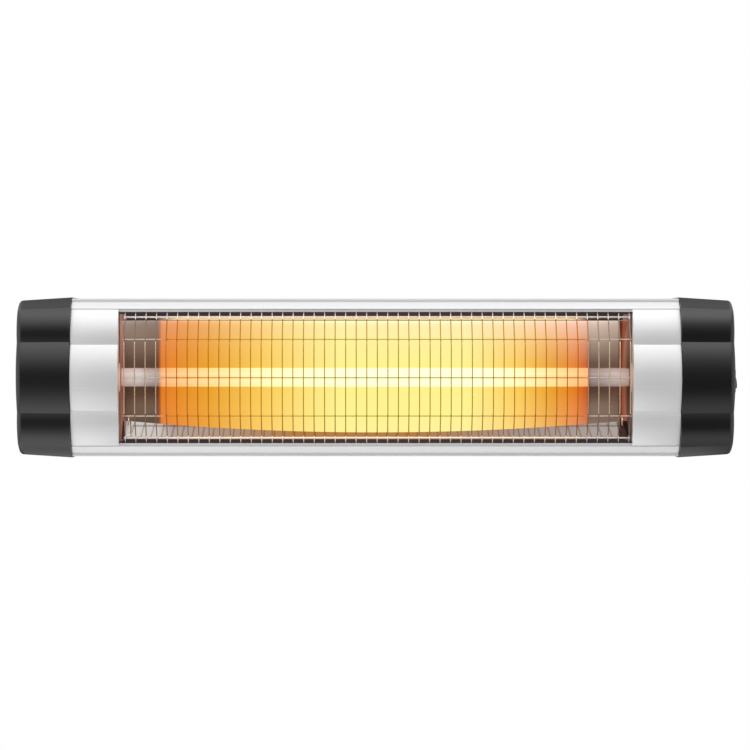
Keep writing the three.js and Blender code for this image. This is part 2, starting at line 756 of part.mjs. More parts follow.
// ---------- Wiring pieces ----------
function terminalBlock() {
  const wayPitch = terminalHeight / terminalWays;
  const base = block(0, terminalLength, -terminalWidth / 2, terminalWidth / 2,
    -terminalHeight / 2, terminalHeight / 2);
  const bores = [];
  for (let i = 0; i < terminalWays; i += 1) {
    const z = (i - (terminalWays - 1) / 2) * wayPitch;
    bores.push(rodY(terminalBore / 2, -terminalWidth, terminalWidth, terminalLength / 2, z, 12));
    bores.push(block(terminalLength - terminalEntryDepth, terminalLength + 1,
      -terminalEntry / 2, terminalEntry / 2, z - terminalEntry / 2, z + terminalEntry / 2));
  }
  return cut(base, ...bores);
}

// A pan-head screw along +X, its head's seat at x = 0 and its shank towards -X.
function panScrew(radius, length, headRadius, headHeight) {
  const crown = headRadius * screwCrown;
  const head = turnedX([
    [-length, 0], [-length + radius * screwTipTaper, radius], [0, radius], [0, headRadius],
    [headHeight * screwHeadEdge, headRadius], [headHeight, crown], [headHeight, 0],
  ], 10);
  const arm = headRadius * screwSlotArm;
  const slotWidth = headRadius * screwSlotWidth;
  const slots = [[arm, slotWidth], [slotWidth, arm]].map(([a, b]) => block(headHeight * screwSlotFloor,
    headHeight + overcut, -a, a, -b, b));
  return cut(head, ...slots);
}

function cableGland() {
  const hex = (start, end, radius) => rodY(radius, start, end, 0, 0, 6);
  const outside = glandHexLength + restGap;
  const dome = rodY(glandDomeRadius, outside - weld, outside + glandDomeStraight, 0, 0, 20);
  const tipLength = glandDomeLength - glandDomeStraight + weld;
  const tip = new THREE.CylinderGeometry(glandMouthRadius, glandDomeRadius, tipLength, 20)
    .translate(0, outside + glandDomeLength - tipLength / 2, 0);
  const thread = rodY(glandThreadRadius, -glandThreadLength, restGap + weld, 0, 0, 20);
  const bore = rodY(glandBoreRadius, -glandThreadLength - 1, outside + glandDomeLength + 1, 0, 0, 16);
  return cut(join(hex(restGap, outside, glandHexRadius), dome, tip, thread), bore);
}

function glandNut() {
  const seat = -glandPadThickness - restGap;
  const nut = rodY(glandHexRadius, seat - glandNutLength, seat, 0, 0, 6);
  const bore = rodY(glandThreadRadius + restGap, seat - glandNutLength - 1, 1, 0, 0, 20);
  return cut(nut, bore);
}

// ---------- Wall bracket, yoke and tilt joint ----------
// An ear's side outline from a base line to a round end about the pivot, as [y, z] points.
function earOutline(baseY, pivotY, rootHalf, radius) {
  const towards = Math.sign(pivotY - baseY);
  const round = [];
  for (let i = 0; i <= 10; i += 1) {
    const angle = Math.PI * (i / 10 - 0.5);
    round.push([pivotY + towards * radius * Math.cos(angle), radius * Math.sin(angle)]);
  }
  return [[baseY, -rootHalf], ...round, [baseY, rootHalf]];
}

function wallBracket() {
  const half = bracketWidth / 2;
  const hw = bracketHeight / 2;
  const plate = block(-half, half, -bracketThickness, 0, -hw, hw);
  const ear = earOutline(-bracketThickness / 2, -pivotOut, earRootHalf, earRadius);
  const ears = [[-half, -half + bracketThickness], [half - bracketThickness, half]]
    .map(([x0, x1]) => prismX(ear, x0, x1));
  const pivotHole = rodX(boltRadius + restGap, -half - 1, half + 1, -pivotOut, 0);
  const slots = [1, -1].map((side) => join(
    rodY(slotHalfWidth, -bracketThickness - 1, 1, -slotHalfLength, side * slotSpacing / 2),
    rodY(slotHalfWidth, -bracketThickness - 1, 1, slotHalfLength, side * slotSpacing / 2),
    block(-slotHalfLength, slotHalfLength, -bracketThickness - 1, 1,
      side * slotSpacing / 2 - slotHalfWidth,
      side * slotSpacing / 2 + slotHalfWidth),
  ));
  return cut(join(plate, ...ears), pivotHole, ...slots);
}

const yokeHalf = bracketWidth / 2 - bracketThickness - 2 * restGap - washerThickness;

function tiltYoke() {
  const back = -pivotToBack + restGap;
  const half = yokeHeight / 2;
  const plate = block(-yokeHalf, yokeHalf, back, back + yokeThickness, -half, half);
  const ear = earOutline(back + yokeThickness / 2, 0, yokeEarRootHalf, yokeEarRadius);
  const ears = [[-yokeHalf, -yokeHalf + yokeThickness], [yokeHalf - yokeThickness, yokeHalf]]
    .map(([x0, x1]) => prismX(ear, x0, x1));
  const pivotHole = rodX(boltRadius + restGap, -yokeHalf - 1, yokeHalf + 1, 0, 0);
  const holes = [-1, 1].map((side) => rodY(yokeScrewRadius + restGap, back - 1, back + yokeThickness + 1,
    0, side * yokeScrewSpacing / 2));
  return cut(join(plate, ...ears), pivotHole, ...holes);
}

function washer() {
  const x0 = yokeHalf + restGap;
  const ring = rodX(washerRadius, x0, x0 + washerThickness, 0, 0);
  return cut(ring, rodX(boltRadius + restGap, x0 - 1, x0 + washerThickness + 1, 0, 0));
}

function pivotBolt() {
  const seat = yokeHalf - yokeThickness - restGap;
  const head = rodX(boltHeadRadius, seat - boltHeadHeight, seat, 0, 0, 6);
  return join(head, rodX(boltRadius, seat - 1, seat + boltLength, 0, 0));
}

// A star knob: a hub against the ear and a lobed grip outside it.
function pivotKnob() {
  const start = bracketWidth / 2 + restGap;
  const outline = [];
  const steps = knobLobes * 6;
  for (let i = 0; i < steps; i += 1) {
    const angle = 2 * Math.PI * i / steps;
    const radius = knobRadius - knobScallop * (1 - Math.cos(knobLobes * angle)) / 2;
    outline.push([radius * Math.cos(angle), radius * Math.sin(angle)]);
  }
  const hub = rodX(knobHubRadius, start, start + knobHubLength + 1, 0, 0);
  const grip = prismX(outline, start + knobHubLength, start + knobLength);
  const bore = rodX(boltRadius + restGap, start - 1, yokeHalf - yokeThickness + boltLength + 1, 0, 0);
  return cut(join(hub, grip), bore);
}

// The four leads: along the housing's back, through the grommets and into the right cap.
const terminalX = endPlateX + endPlateThickness + restGap;
const lampLeadX = lampCapX + lampCapThickness + restGap;
const switchTabX = capEndX - switchBodyLength - switchTabLength - restGap;
const clampX = terminalX + terminalLength - terminalEntryDepth + restGap;
const wayHeight = (way) => terminalCentreHeight + way * terminalHeight / terminalWays;
const intoTerminal = (way) => [clampRun, clampRun / 2, 0]
  .map((back) => [clampX + back, at(terminalDepth), wayHeight(way)]);
const tabHeight = (tab) => switchHeight + tab * switchTabSpacing;
const fromTab = (tab) => [0, tabStub].map((back) => [switchTabX - back, at(switchDepth), tabHeight(tab)]);
const throughPlate = (height) => [-grommetRun, 0, grommetRun]
  .map((past) => [endPlateX + past, at(leadExitDepth), height]);
const fromLamp = (side) => [0, leadStub].map((out) => [side * (lampLeadX + out), at(lampDepth), 0]);

function lampLeadLeft() {
  const along = at(leadExitDepth);
  const runStart = -lampLeadX + leadRunStart;
  const runEnd = endPlateX + grommetRun;
  const bend = wire([
    ...fromLamp(-1), [-lampLeadX - 13, at(lampDepth + 8), 6],
    [-lampLeadX - 14, at(leadExitDepth - leadSweep), leadExitHeight - 14],
    [-lampLeadX + 4, along, leadExitHeight], [runStart, along, leadExitHeight],
  ], wireRadius, 14, 6);
  const drop = wire([
    [runEnd - 1, along, leadExitHeight], [runEnd + 4, along, leadExitHeight],
    [clampX + 8, along - 4, leadExitHeight - 22], [clampX + 15, at(terminalDepth + 1), wayHeight(1) + 8],
    ...intoTerminal(1),
  ], wireRadius, 18, 6);
  return join(bend, rodX(wireRadius, runStart - 1, runEnd, along, leadExitHeight, 6), drop);
}

function lampLeadRight() {
  return wire([
    ...fromLamp(1), [lampLeadX + 14, at(lampDepth + 16), -2], ...throughPlate(returnExitHeight),
    [endPlateX + 15, at(leadExitDepth - returnSweep), switchHeight + 4],
    [switchTabX - 12, at(switchDepth + 6), tabHeight(1) + 1],
    ...fromTab(1).reverse(),
  ], wireRadius, 22, 6);
}

function switchLead() {
  return wire([
    ...fromTab(-1), [switchTabX - 12, at(switchDepth + 5), tabHeight(-1) - 3],
    [switchTabX - 8, at(switchDepth + 24), wayHeight(0) + 6],
    [clampX + 13, at(terminalDepth - 8), wayHeight(0) + 1], ...intoTerminal(0),
  ], wireRadius, 16, 6);
}

function earthLead() {
  return wire([
    [terminalX + earthScrewHeadHeight + 2 * restGap + wireRadius, at(earthScrewDepth), earthScrewHeight],
    [terminalX + 12, at(earthScrewDepth + 2), earthScrewHeight - 6],
    [clampX + 10, at(terminalDepth - 18), wayHeight(-1) - 4],
    [clampX + 14, at(terminalDepth - 4), wayHeight(-1)], ...intoTerminal(-1),
  ], wireRadius, 15, 6);
}

// ---------- Assembly ----------
function piece(name, geometry, finish, x = 0, y = 0, z = 0) {
  const mesh = new THREE.Mesh(geometry, new THREE.MeshStandardMaterial(finish));
  mesh.name = name;
  mesh.position.set(x, y, z);
  return mesh;
}

function pair(name, geometry, finish) {
  return [piece(`${name}_left`, mirroredX(geometry), finish), piece(`${name}_right`, geometry, finish)];
}

const heater = new THREE.Group();
heater.position.y = -pivotOut;

function addHousing() {
  heater.add(piece('body_extrusion', bodyExtrusion(), silver));
  heater.add(...pair('front_panel', frontPanel(), silver));
  heater.add(piece('end_cap_left', mirroredX(endCap()), satinBlack));
  heater.add(piece('end_cap_right', rightCap(), satinBlack));
  heater.add(piece('end_plate_left', mirroredX(endPlateBlank()), zincSteel));
  heater.add(piece('end_plate_right', rightPlate(), zincSteel));
  const length = screwSeatX - bodyHalfLength + capScrewReach;
  for (const [sideName, side] of [['left', -1], ['right', 1]]) {
    for (const [levelName, level] of [['upper', 1], ['lower', -1]]) {
      const screw = piece(`cap_screw_${sideName}_${levelName}`,
        panScrew(capScrewRadius, length, capScrewHeadRadius, capScrewHeadHeight), zincSteel,
        side * (screwSeatX + restGap), at(portDepth), level * portHeight);
      screw.rotation.z = side > 0 ? 0 : Math.PI;
      heater.add(screw);
    }
  }
}

function addReflector() {
  heater.add(piece('reflector', reflector(), mirrorSteel));
  heater.add(piece('reflector_shelf', shelf(), zincSteel));
  heater.add(...pair('reflector_end', reflectorEnd(), mirrorSteel));
  const clipX = reflectorEndX - clipInset;
  for (const [name, side] of [['left', -1], ['right', 1]]) {
    heater.add(piece(`reflector_clip_${name}`, reflectorClip(), chromeWire, side * clipX));
    heater.add(piece(`reflector_stay_${name}`, reflectorStay(), zincSteel, side * staySpacing / 2));
  }
}

function addLamp() {
  const lamp = new THREE.Group();
  lamp.position.y = at(lampDepth);
  lamp.add(piece('quartz_tube', quartzTube(), quartz));
  lamp.add(piece('filament', filament(), carbon));
  lamp.add(...pair('lamp_cap', lampCap(), ceramicWhite));
  heater.add(lamp);
  heater.add(...pair('lamp_bracket', lampBracket(), zincSteel));
  heater.add(piece('guard_grille', guardGrille(), chromeWire));
}

function addSwitch() {
  const group = new THREE.Group();
  group.position.set(capEndX, switchY, switchHeight);
  group.add(piece('switch_housing', switchHousing(), satinBlack));
  const lever = piece('rocker', rocker(), glossBlack);
  lever.rotation.y = -THREE.MathUtils.degToRad(rockerTilt);
  group.add(lever);
  heater.add(group);
}

function addWiring() {
  heater.add(piece('terminal_block', terminalBlock(), creamPlastic, terminalX, at(terminalDepth),
    terminalCentreHeight));
  heater.add(piece('lead_grommet', grommet(leadExitHeight), greySilicone));
  heater.add(piece('return_grommet', grommet(returnExitHeight), greySilicone));
  heater.add(piece('lamp_lead_left', lampLeadLeft(), redSilicone));
  heater.add(piece('lamp_lead_right', lampLeadRight(), redSilicone));
  heater.add(piece('switch_lead', switchLead(), whiteSilicone));
  heater.add(piece('earth_lead', earthLead(), earthGreen));
  heater.add(piece('earth_screw', panScrew(earthScrewRadius, earthScrewLength, earthScrewHeadRadius,
    earthScrewHeadHeight), zincSteel, terminalX, at(earthScrewDepth), earthScrewHeight));
  const gland = new THREE.Group();
  gland.position.set(glandX, at(bodyDepth + capProud), glandHeight);
  gland.add(piece('cable_gland', cableGland(), blackSteel));
  gland.add(piece('gland_nut', glandNut(), blackSteel));
  heater.add(gland);
}

function addTiltJoint() {
  heater.add(piece('tilt_yoke', tiltYoke(), blackSteel));
  const seatY = -pivotToBack + 2 * restGap + yokeThickness;
  const geometry = panScrew(yokeScrewRadius, yokeScrewLength, yokeScrewHeadRadius, yokeScrewHeadHeight);
  for (const [name, side] of [['upper', 1], ['lower', -1]]) {
    const screw = piece(`yoke_screw_${name}`, geometry, zincSteel, 0, seatY, side * yokeScrewSpacing / 2);
    screw.rotation.z = Math.PI / 2;
    heater.add(screw);
  }
}

function wallSide() {
  const wall = new THREE.Group();
  wall.add(piece('wall_bracket', wallBracket(), blackSteel));
  const pivot = new THREE.Group();
  pivot.position.y = -pivotOut;
  pivot.add(...pair('pivot_bolt', pivotBolt(), zincSteel));
  pivot.add(...pair('pivot_washer', washer(), whiteSilicone));
  pivot.add(...pair('pivot_knob', pivotKnob(), satinBlack));
  wall.add(pivot);
  return wall;
}

addHousing();
addReflector();
addLamp();
addSwitch();
addWiring();
addTiltJoint();

const barHeater = new THREE.Group();
barHeater.add(wallSide(), heater);
export default barHeater;
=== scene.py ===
"""Visible shapes and finishes of a wall-mounted electric bar heater, around its fixed frame.

Lengths in the code are millimetres in the frame's axes and become metres where a mesh is made.
The heater faces -Y, its length runs along X, and the wall is the plane y = 0.
"""

import logging
import math
from collections.abc import Callable, Iterator, Sequence
from contextlib import contextmanager
from dataclasses import dataclass
from enum import Enum
from typing import Any

import bmesh
import bpy
from bpy.types import Material, Mesh, Node, NodeTree, Object
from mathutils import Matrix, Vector


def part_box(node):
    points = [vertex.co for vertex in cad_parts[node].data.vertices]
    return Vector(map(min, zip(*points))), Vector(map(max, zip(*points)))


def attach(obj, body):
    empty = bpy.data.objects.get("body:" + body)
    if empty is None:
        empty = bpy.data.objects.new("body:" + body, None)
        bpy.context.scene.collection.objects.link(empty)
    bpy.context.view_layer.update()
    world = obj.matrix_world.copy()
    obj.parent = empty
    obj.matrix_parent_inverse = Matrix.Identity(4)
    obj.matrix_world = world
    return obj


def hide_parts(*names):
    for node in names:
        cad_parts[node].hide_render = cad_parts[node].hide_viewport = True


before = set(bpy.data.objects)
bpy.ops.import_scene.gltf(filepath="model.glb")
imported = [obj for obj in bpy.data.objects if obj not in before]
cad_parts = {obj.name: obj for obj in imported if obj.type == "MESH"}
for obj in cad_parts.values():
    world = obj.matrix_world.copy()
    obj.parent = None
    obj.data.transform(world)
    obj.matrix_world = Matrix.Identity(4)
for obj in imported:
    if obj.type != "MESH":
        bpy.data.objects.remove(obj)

LOG = logging.getLogger("bar_heater")
# A millimetre in metres, and how near two places lie, in millimetres, that count as one.
MM = 0.001
MERGE = 0.01
Point = tuple[float, float, float]
Pair = tuple[float, float]
Colour = tuple[float, float, float, float]
Stops = Sequence[tuple[float, str | float]]


class Body(Enum):
    """The frame's moving bodies."""

    BRACKET = "bracket"
    HEATER = "heater"
    ROCKER = "rocker"
    KNOB_LEFT = "knob_left"
    KNOB_RIGHT = "knob_right"


class Worded(Enum):
    """Options whose names are part of node names."""

    @property
    def word(self) -> str:
        """The option's name as it stands in a node's name."""
        return self.name.lower()


class Side(Worded):
    """An end of the heater, with the sign of its X."""

    LEFT = -1
    RIGHT = 1


class Level(Worded):
    """A height on the heater, with the sign of its Z."""

    UPPER = 1
    LOWER = -1


class Along(Enum):
    """The axis that a section or a turned piece runs along."""

    X = (1.0, 0.0, 0.0)
    Y = (0.0, 1.0, 0.0)


class Element(Enum):
    """A kind of mesh element, with its group's name in a mesh that is edited."""

    VERT = "verts"
    EDGE = "edges"
    FACE = "faces"


class Use(Enum):
    """What a closed tool does to a piece."""

    JOIN = "UNION"
    CUT = "DIFFERENCE"


def box_mm(node: str) -> tuple[Vector, Vector]:
    """Give a frame node's lowest and highest corners in millimetres."""
    low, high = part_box(node)
    return low / MM, high / MM


def centre_mm(node: str, along: Along) -> Pair:
    """Give a frame node's middle in the plane across an axis.

    Args:
        node: the frame node.
        along: the axis.

    Returns:
        The other two coordinates in millimetres, in the order of x, y, z.
    """
    low, high = box_mm(node)
    across = (low.y + high.y) / 2 if along is Along.X else (low.x + high.x) / 2
    return across, (low.z + high.z) / 2


def span_mm(stem: str, side: Side) -> Pair:
    """Give the inner and the outer x of one side's node in millimetres."""
    low, high = box_mm(f"{stem}_{side.word}")
    return (low.x, high.x) if side is Side.RIGHT else (high.x, low.x)


def arc_radius(half: float, rise: float) -> float:
    """Give an arc's radius from half its chord and its rise."""
    return (half**2 + rise**2) / (2 * rise)


# ---------- Modelling by hand ----------
def deselect() -> None:
    """Leave edit mode and clear the selection."""
    if bpy.context.object and bpy.context.object.mode != "OBJECT":
        bpy.ops.object.mode_set(mode="OBJECT")
    bpy.ops.object.select_all(action="DESELECT")


def choose(piece: Object) -> None:
    """Make a piece the only selected and active one.

    Args:
        piece: the object.
    """
    deselect()
    piece.select_set(True)
    bpy.context.view_layer.objects.active = piece


@contextmanager
def editing(piece: Object) -> Iterator[None]:
    """Hold a piece in edit mode.

    Args:
        piece: the mesh object to edit.

    Yields:
        Nothing, while the piece is in edit mode.
    """
    choose(piece)
    bpy.ops.object.mode_set(mode="EDIT")
    yield
    bpy.ops.object.mode_set(mode="OBJECT")


def pick(piece: Object, kind: Element, test: Callable[[Any], bool]) -> None:
    """Select a piece's vertices, edges or faces by a test, in edit mode.

    Args:
        piece: the mesh object being edited.
        kind: which elements are tested.
        test: tells whether an element is selected; places are in metres.
    """
    bpy.ops.mesh.select_mode(type=kind.name)
    bpy.ops.mesh.select_all(action="DESELECT")
    shape = bmesh.from_edit_mesh(piece.data)
    chosen = [element for element in getattr(shape, kind.value) if test(element)]
    for element in chosen:
        element.select_set(True)
    bmesh.update_edit_mesh(piece.data)


def settle(piece: Object) -> None:
    """Move a piece's place, turn and size into its mesh."""
    choose(piece)
    bpy.ops.object.transform_apply(location=True, rotation=True, scale=True)


def named(name: str) -> Object:
    """Name the active object and settle its place into its mesh.

    Args:
        name: the name of the object and its mesh.

    Returns:
        The object.
    """
    piece = bpy.context.active_object
    piece.name = name
    piece.data.name = name
    settle(piece)
    return piece


def modify(piece: Object, kind: str, **settings: Any) -> None:
    """Add a modifier, set it up and apply it.

    Args:
        piece: the mesh object.
        kind: the modifier's type.
        settings: the modifier's own settings.
    """
    modifier = piece.modifiers.new(kind.lower(), kind)
    for key, value in settings.items():
        setattr(modifier, key, value)
    choose(piece)
    bpy.ops.object.modifier_apply(modifier=modifier.name)


def bevel(piece: Object, width: float, segments: int = 2, angle: float = 35.0) -> None:
    """Round a piece's sharp edges.

    Args:
        piece: the mesh object.
        width: the bevel's width in millimetres.
        segments: how many faces make the round.
        angle: the least angle in degrees of an edge that is rounded.
    """
    modify(piece, "BEVEL", width=width * MM, segments=segments, limit_method="ANGLE",
           angle_limit=math.radians(angle), harden_normals=False)


def combine(piece: Object, tool: Object, use: Use) -> None:
    """Join a tool to a piece or cut it away, and remove the tool.

    Args:
        piece: the mesh object that stays.
        tool: the closed mesh object that is used up.
        use: what the tool does.
    """
    modify(piece, "BOOLEAN", object=tool, operation=use.value, solver="EXACT")
    bpy.data.objects.remove(tool)


def merge_doubles() -> None:
    """Select all of the piece being edited and merge what lies together."""
    bpy.ops.mesh.select_all(action="SELECT")
    bpy.ops.mesh.remove_doubles(threshold=MERGE * MM)


def merge(piece: Object) -> None:
    """Merge a closed piece's doubles and turn its faces outwards.

    Args:
        piece: the mesh object.
    """
    with editing(piece):
        merge_doubles()
        bpy.ops.mesh.normals_make_consistent(inside=False)


def face_towards(piece: Object, way: Point) -> None:
    """Turn an open sheet's faces over if they look away from a direction.

    Args:
        piece: the sheet.
        way: the direction.
    """
    total = sum((face.normal * face.area for face in piece.data.polygons), Vector())
    if total.dot(Vector(way)) < 0:
        with editing(piece):
            bpy.ops.mesh.select_all(action="SELECT")
            bpy.ops.mesh.flip_normals()


def add_slots(piece: Object, count: int) -> None:
    """Give a piece empty material slots for its faces to be told apart by."""
    for _ in range(count):
        piece.data.materials.append(None)


def smooth(piece: Object, angle: float = 30.0, flat: bool = False) -> None:
    """Shade a piece smooth but for sharp edges.

    Args:
        piece: the mesh object.
        angle: the least angle in degrees of an edge that stays sharp.
        flat: whether the piece's broad faces are to look flat up to their rounded edges.
    """
    choose(piece)
    bpy.ops.object.shade_smooth_by_angle(angle=math.radians(angle))
    if flat:
        modify(piece, "WEIGHTED_NORMAL", keep_sharp=True)


def block(name: str, low: Point, high: Point) -> Object:
    """Add a box between two corners, in millimetres.

    Args:
        name: the object's name.
        low: its lowest corner.
        high: its highest corner.

    Returns:
        The box.
    """
    deselect()
    middle = (Vector(low) + Vector(high)) / 2 * MM
    bpy.ops.mesh.primitive_cube_add(size=1, location=middle)
    bpy.context.active_object.scale = (Vector(high) - Vector(low)) * MM
    return named(name)


def rod(name: str, along: Along, start: float, end: float, centre: Pair, radius: float,
        sides: int = 48) -> Object:
    """Add a round bar along an axis, in millimetres.

    Args:
        name: the object's name.
        along: its axis.
        start: the coordinate of its one end on that axis.
        end: the coordinate of its other end.
        centre: the other two coordinates, in the order of x, y, z.
        radius: its radius.
        sides: how many sides it has.

    Returns:
        The bar.
    """
    deselect()
    middle = (start + end) / 2
    if along is Along.X:
        place, turn = (middle, *centre), (0, math.pi / 2, 0)
    else:
        place, turn = (centre[0], middle, centre[1]), (math.pi / 2, 0, 0)
    bpy.ops.mesh.primitive_cylinder_add(vertices=sides, radius=radius * MM, depth=abs(end - start) * MM,
                                        location=Vector(place) * MM, rotation=turn)
    return named(name)


class Line:
    """A line grown step by step through a section plane, as a wire or as a wide strip.

    Places in the section are (y, z) for a line along X and (x, z) for one along Y, in millimetres.
    """

    def __init__(self, name: str, along: Along, start: Pair, near: float,
                 far: float | None = None) -> None:
        """Start the line with one vertex, or with one edge that makes it a strip.

        Args:
            name: the object's name.
            along: the axis that stands square to the section.
            start: the first place in the section.
            near: the first vertex's coordinate on that axis.
            far: the other end of the first edge, or None for a line of single vertices.
        """
        self.along = along
        self.near = near
        self.place = start
        size = (far - near) if far is not None else 1.0
        reach = (size if far is not None else 0) + MERGE
        corner, axis = Vector(self.world(start)), Vector(along.value)

        def outside(vertex: Any) -> bool:
            """Tell whether a vertex lies off the line's start."""
            off = vertex.co / MM - corner
            return (off - axis * off.dot(axis)).length > MERGE or off.dot(axis) > reach

        deselect()
        middle = (corner + Vector((size, size, 0)) / 2) * MM
        bpy.ops.mesh.primitive_plane_add(size=size * MM, location=middle)
        self.piece = named(name)
        with editing(self.piece):
            pick(self.piece, Element.VERT, outside)
            bpy.ops.mesh.delete(type="VERT")
            bpy.ops.mesh.select_all(action="SELECT")
        choose(self.piece)
        bpy.ops.object.mode_set(mode="EDIT")

    def world(self, place: Pair) -> Point:
        """Give the place in the frame of a place in the section."""
        return (self.near, *place) if self.along is Along.X else (place[0], self.near, place[1])

    def to(self, *place: float) -> "Line":
        """Grow straight to a place in the section.

        Args:
            place: its two coordinates.

        Returns:
            The line itself.
        """
        step = (Vector(self.world(place)) - Vector(self.world(self.place))) * MM
        bpy.ops.mesh.extrude_region_move(TRANSFORM_OT_translate={"value": step})
        self.place = place
        return self

    def arc(self, u: float, v: float, radius: float, steps: int) -> "Line":
        """Grow along an arc that bulges to the left of the way.

        Args:
            u: the end's first coordinate in the section.
            v: the end's second coordinate.
            radius: the arc's radius.
            steps: how many edges make the arc.

        Returns:
            The line itself.
        """
        start, end = Vector(self.place), Vector((u, v))
        chord = end - start
        to_centre = math.sqrt(max(radius**2 - chord.length_squared / 4, 0.0))
        right = Vector((chord.y, -chord.x)).normalized()
        centre = (start + end) / 2 + right * to_centre
        angle = 2 * math.asin(min(chord.length / 2 / radius, 1.0))
        turn = 1 if self.along is Along.X else -1
        bpy.ops.mesh.spin(steps=steps, angle=turn * angle, center=Vector(self.world(centre)) * MM,
                          axis=self.along.value)
        self.place = (u, v)
        return self

    def flow(self) -> Object:
        """End the line as it is and give its piece."""
        bpy.ops.object.mode_set(mode="OBJECT")
        return self.piece

    def fill(self) -> Object:
        """Close the line's ends on each other, fill it with one face and give its piece.

        Returns:
            The flat piece.
        """
        merge_doubles()
        bpy.ops.mesh.edge_face_add()
        return self.flow()


def prism(line: Line, length: float) -> Object:
    """Fill a closed line and pull it along its axis into a solid.

    Args:
        line: the closed outline.
        length: how far it is pulled, in millimetres.

    Returns:
        The solid.
    """
    piece = line.fill()
    step = Vector(line.along.value) * length * MM
    with editing(piece):
        bpy.ops.mesh.select_all(action="SELECT")
        bpy.ops.mesh.extrude_region_move(TRANSFORM_OT_translate={"value": step})
    merge(piece)
    return piece


def turned(name: str, along: Along, centre: Pair, profile: list[Pair], steps: int = 32) -> Object:
    """Turn a profile about an axis.

    Args:
        name: the object's name.
        along: the axis.
        centre: the axis' other two coordinates, in the order of x, y, z.
        profile: places as (coordinate on the axis, radius); it closes on itself or on the axis.
        steps: how many sides the piece gets.

    Returns:
        The turned solid.
    """
    def place(at: float, radius: float) -> Vector:
        """Give the place of a spot of the profile, straight above the axis."""
        foot = (at, centre[0]) if along is Along.X else (centre[0], at)
        return Vector((*foot, centre[1] + radius))

    start = place(*profile[0])
    deselect()
    bpy.ops.mesh.primitive_plane_add(size=MM, location=(start + Vector((0.5, 0.5, 0))) * MM)
    piece = named(name)
    with editing(piece):
        pick(piece, Element.VERT, lambda vertex: (vertex.co / MM - start).length > MERGE)
        bpy.ops.mesh.delete(type="VERT")
        bpy.ops.mesh.select_all(action="SELECT")
        before = start
        for spot in profile[1:]:
            after = place(*spot)
            bpy.ops.mesh.extrude_region_move(TRANSFORM_OT_translate={"value": (after - before) * MM})
            before = after
        bpy.ops.mesh.select_all(action="SELECT")
        bpy.ops.mesh.spin(steps=steps, angle=2 * math.pi, center=place(profile[0][0], 0) * MM,
                          axis=along.value)
    merge(piece)
    return piece


def bent_wire(name: str, x: float, spots: list[Pair], radius: float, bend: float) -> Object:
    """Bend a round wire in a plane across X.

    Args:
        name: the object's name.
        x: the plane's place.
        spots: the corners of its middle line as (y, z).
        radius: the wire's radius.
        bend: how far from each corner its bend starts.

    Returns:
        The wire.
    """
    line = Line(name, Along.X, spots[0], x)
    for spot in spots[1:]:
        line.to(*spot)
    wire = line.flow()
    with editing(wire):
        pick(wire, Element.VERT, lambda vertex: len(vertex.link_edges) == 2)
        bpy.ops.mesh.bevel(offset=bend * MM, segments=3, affect="VERTICES")
    choose(wire)
    bpy.ops.object.convert(target="CURVE")
    curve = bpy.context.active_object.data
    curve.bevel_depth = radius * MM
    curve.bevel_resolution = 1
    curve.use_fill_caps = True
    bpy.ops.object.convert(target="MESH")
    return named(name)


def copy_of(mesh: Mesh, name: str) -> Object:
    """Add an object with its own copy of a mesh.

    Args:
        mesh: the mesh to copy.
        name: the name of the object and its mesh.

    Returns:
        The object.
    """
    piece = bpy.data.objects.new(name, mesh.copy())
    piece.data.name = name
    bpy.context.scene.collection.objects.link(piece)
    return piece


def frame_copy(node: str, name: str) -> Object:
    """Copy a frame node's mesh as a new piece, merged and with its flat faces made whole.

    Args:
        node: the frame node.
        name: the new piece's name.

    Returns:
        The new piece.
    """
    piece = copy_of(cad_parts[node].data, name)
    with editing(piece):
        merge_doubles()
        bpy.ops.mesh.customdata_custom_splitnormals_clear()
        bpy.ops.mesh.select_all(action="SELECT")
        bpy.ops.mesh.dissolve_limited(angle_limit=math.radians(1))
    return piece


def fresh_copy(piece: Object, name: str, shift: Point, turn: float) -> Object:
    """Copy a finished piece with a mesh of its own, moved and turned about Z in its mesh.

    Args:
        piece: the piece to copy.
        name: the copy's name.
        shift: how far the copy is moved after its turn, in millimetres.
        turn: the turn about the frame's Z axis in degrees.

    Returns:
        The copy.
    """
    copy = copy_of(piece.data, name)
    copy.rotation_euler = (0, 0, math.radians(turn))
    copy.location = Vector(shift) * MM
    settle(copy)
    return copy


# ---------- Materials ----------
def linear(code: str) -> Colour:
    """Turn an sRGB hex colour into linear red, green, blue and alpha."""
    parts = [int(code[i:i + 2], 16) / 255 for i in (1, 3, 5)]
    return (*(c / 12.92 if c <= 0.04045 else ((c + 0.055) / 1.055) ** 2.4 for c in parts), 1.0)


def add(tree: NodeTree, kind: str, settings: dict[str | int, Any] | None = None,
        links: dict[str | int, Any] | None = None) -> Node:
    """Add a node with its settings and its incoming links.

    Args:
        tree: the node tree.
        kind: the node's type.
        settings: properties of the node by name, or values of its inputs by socket name or number;
            "stops" gives a colour ramp's places and linear colours, from 0 to 1.
        links: output sockets by the name or number of the input that they go to.

    Returns:
        The node.
    """
    node = tree.nodes.new(kind)
    for key, value in (settings or {}).items():
        if key == "stops":
            elements = node.color_ramp.elements
            elements[0].color, elements[1].color = value[0][1], value[-1][1]
            for place, colour in value[1:-1]:
                elements.new(place).color = colour
        elif isinstance(key, str) and hasattr(node, key):
            setattr(node, key, value)
        else:
            node.inputs[key].default_value = value
    for key, socket in (links or {}).items():
        tree.links.new(socket, node.inputs[key])
    return node


def shade_of(stop: str | float) -> Colour:
    """Give a stop's linear colour: of an sRGB hex colour, or of a grey's linear level."""
    return linear(stop) if isinstance(stop, str) else (stop, stop, stop, 1.0)


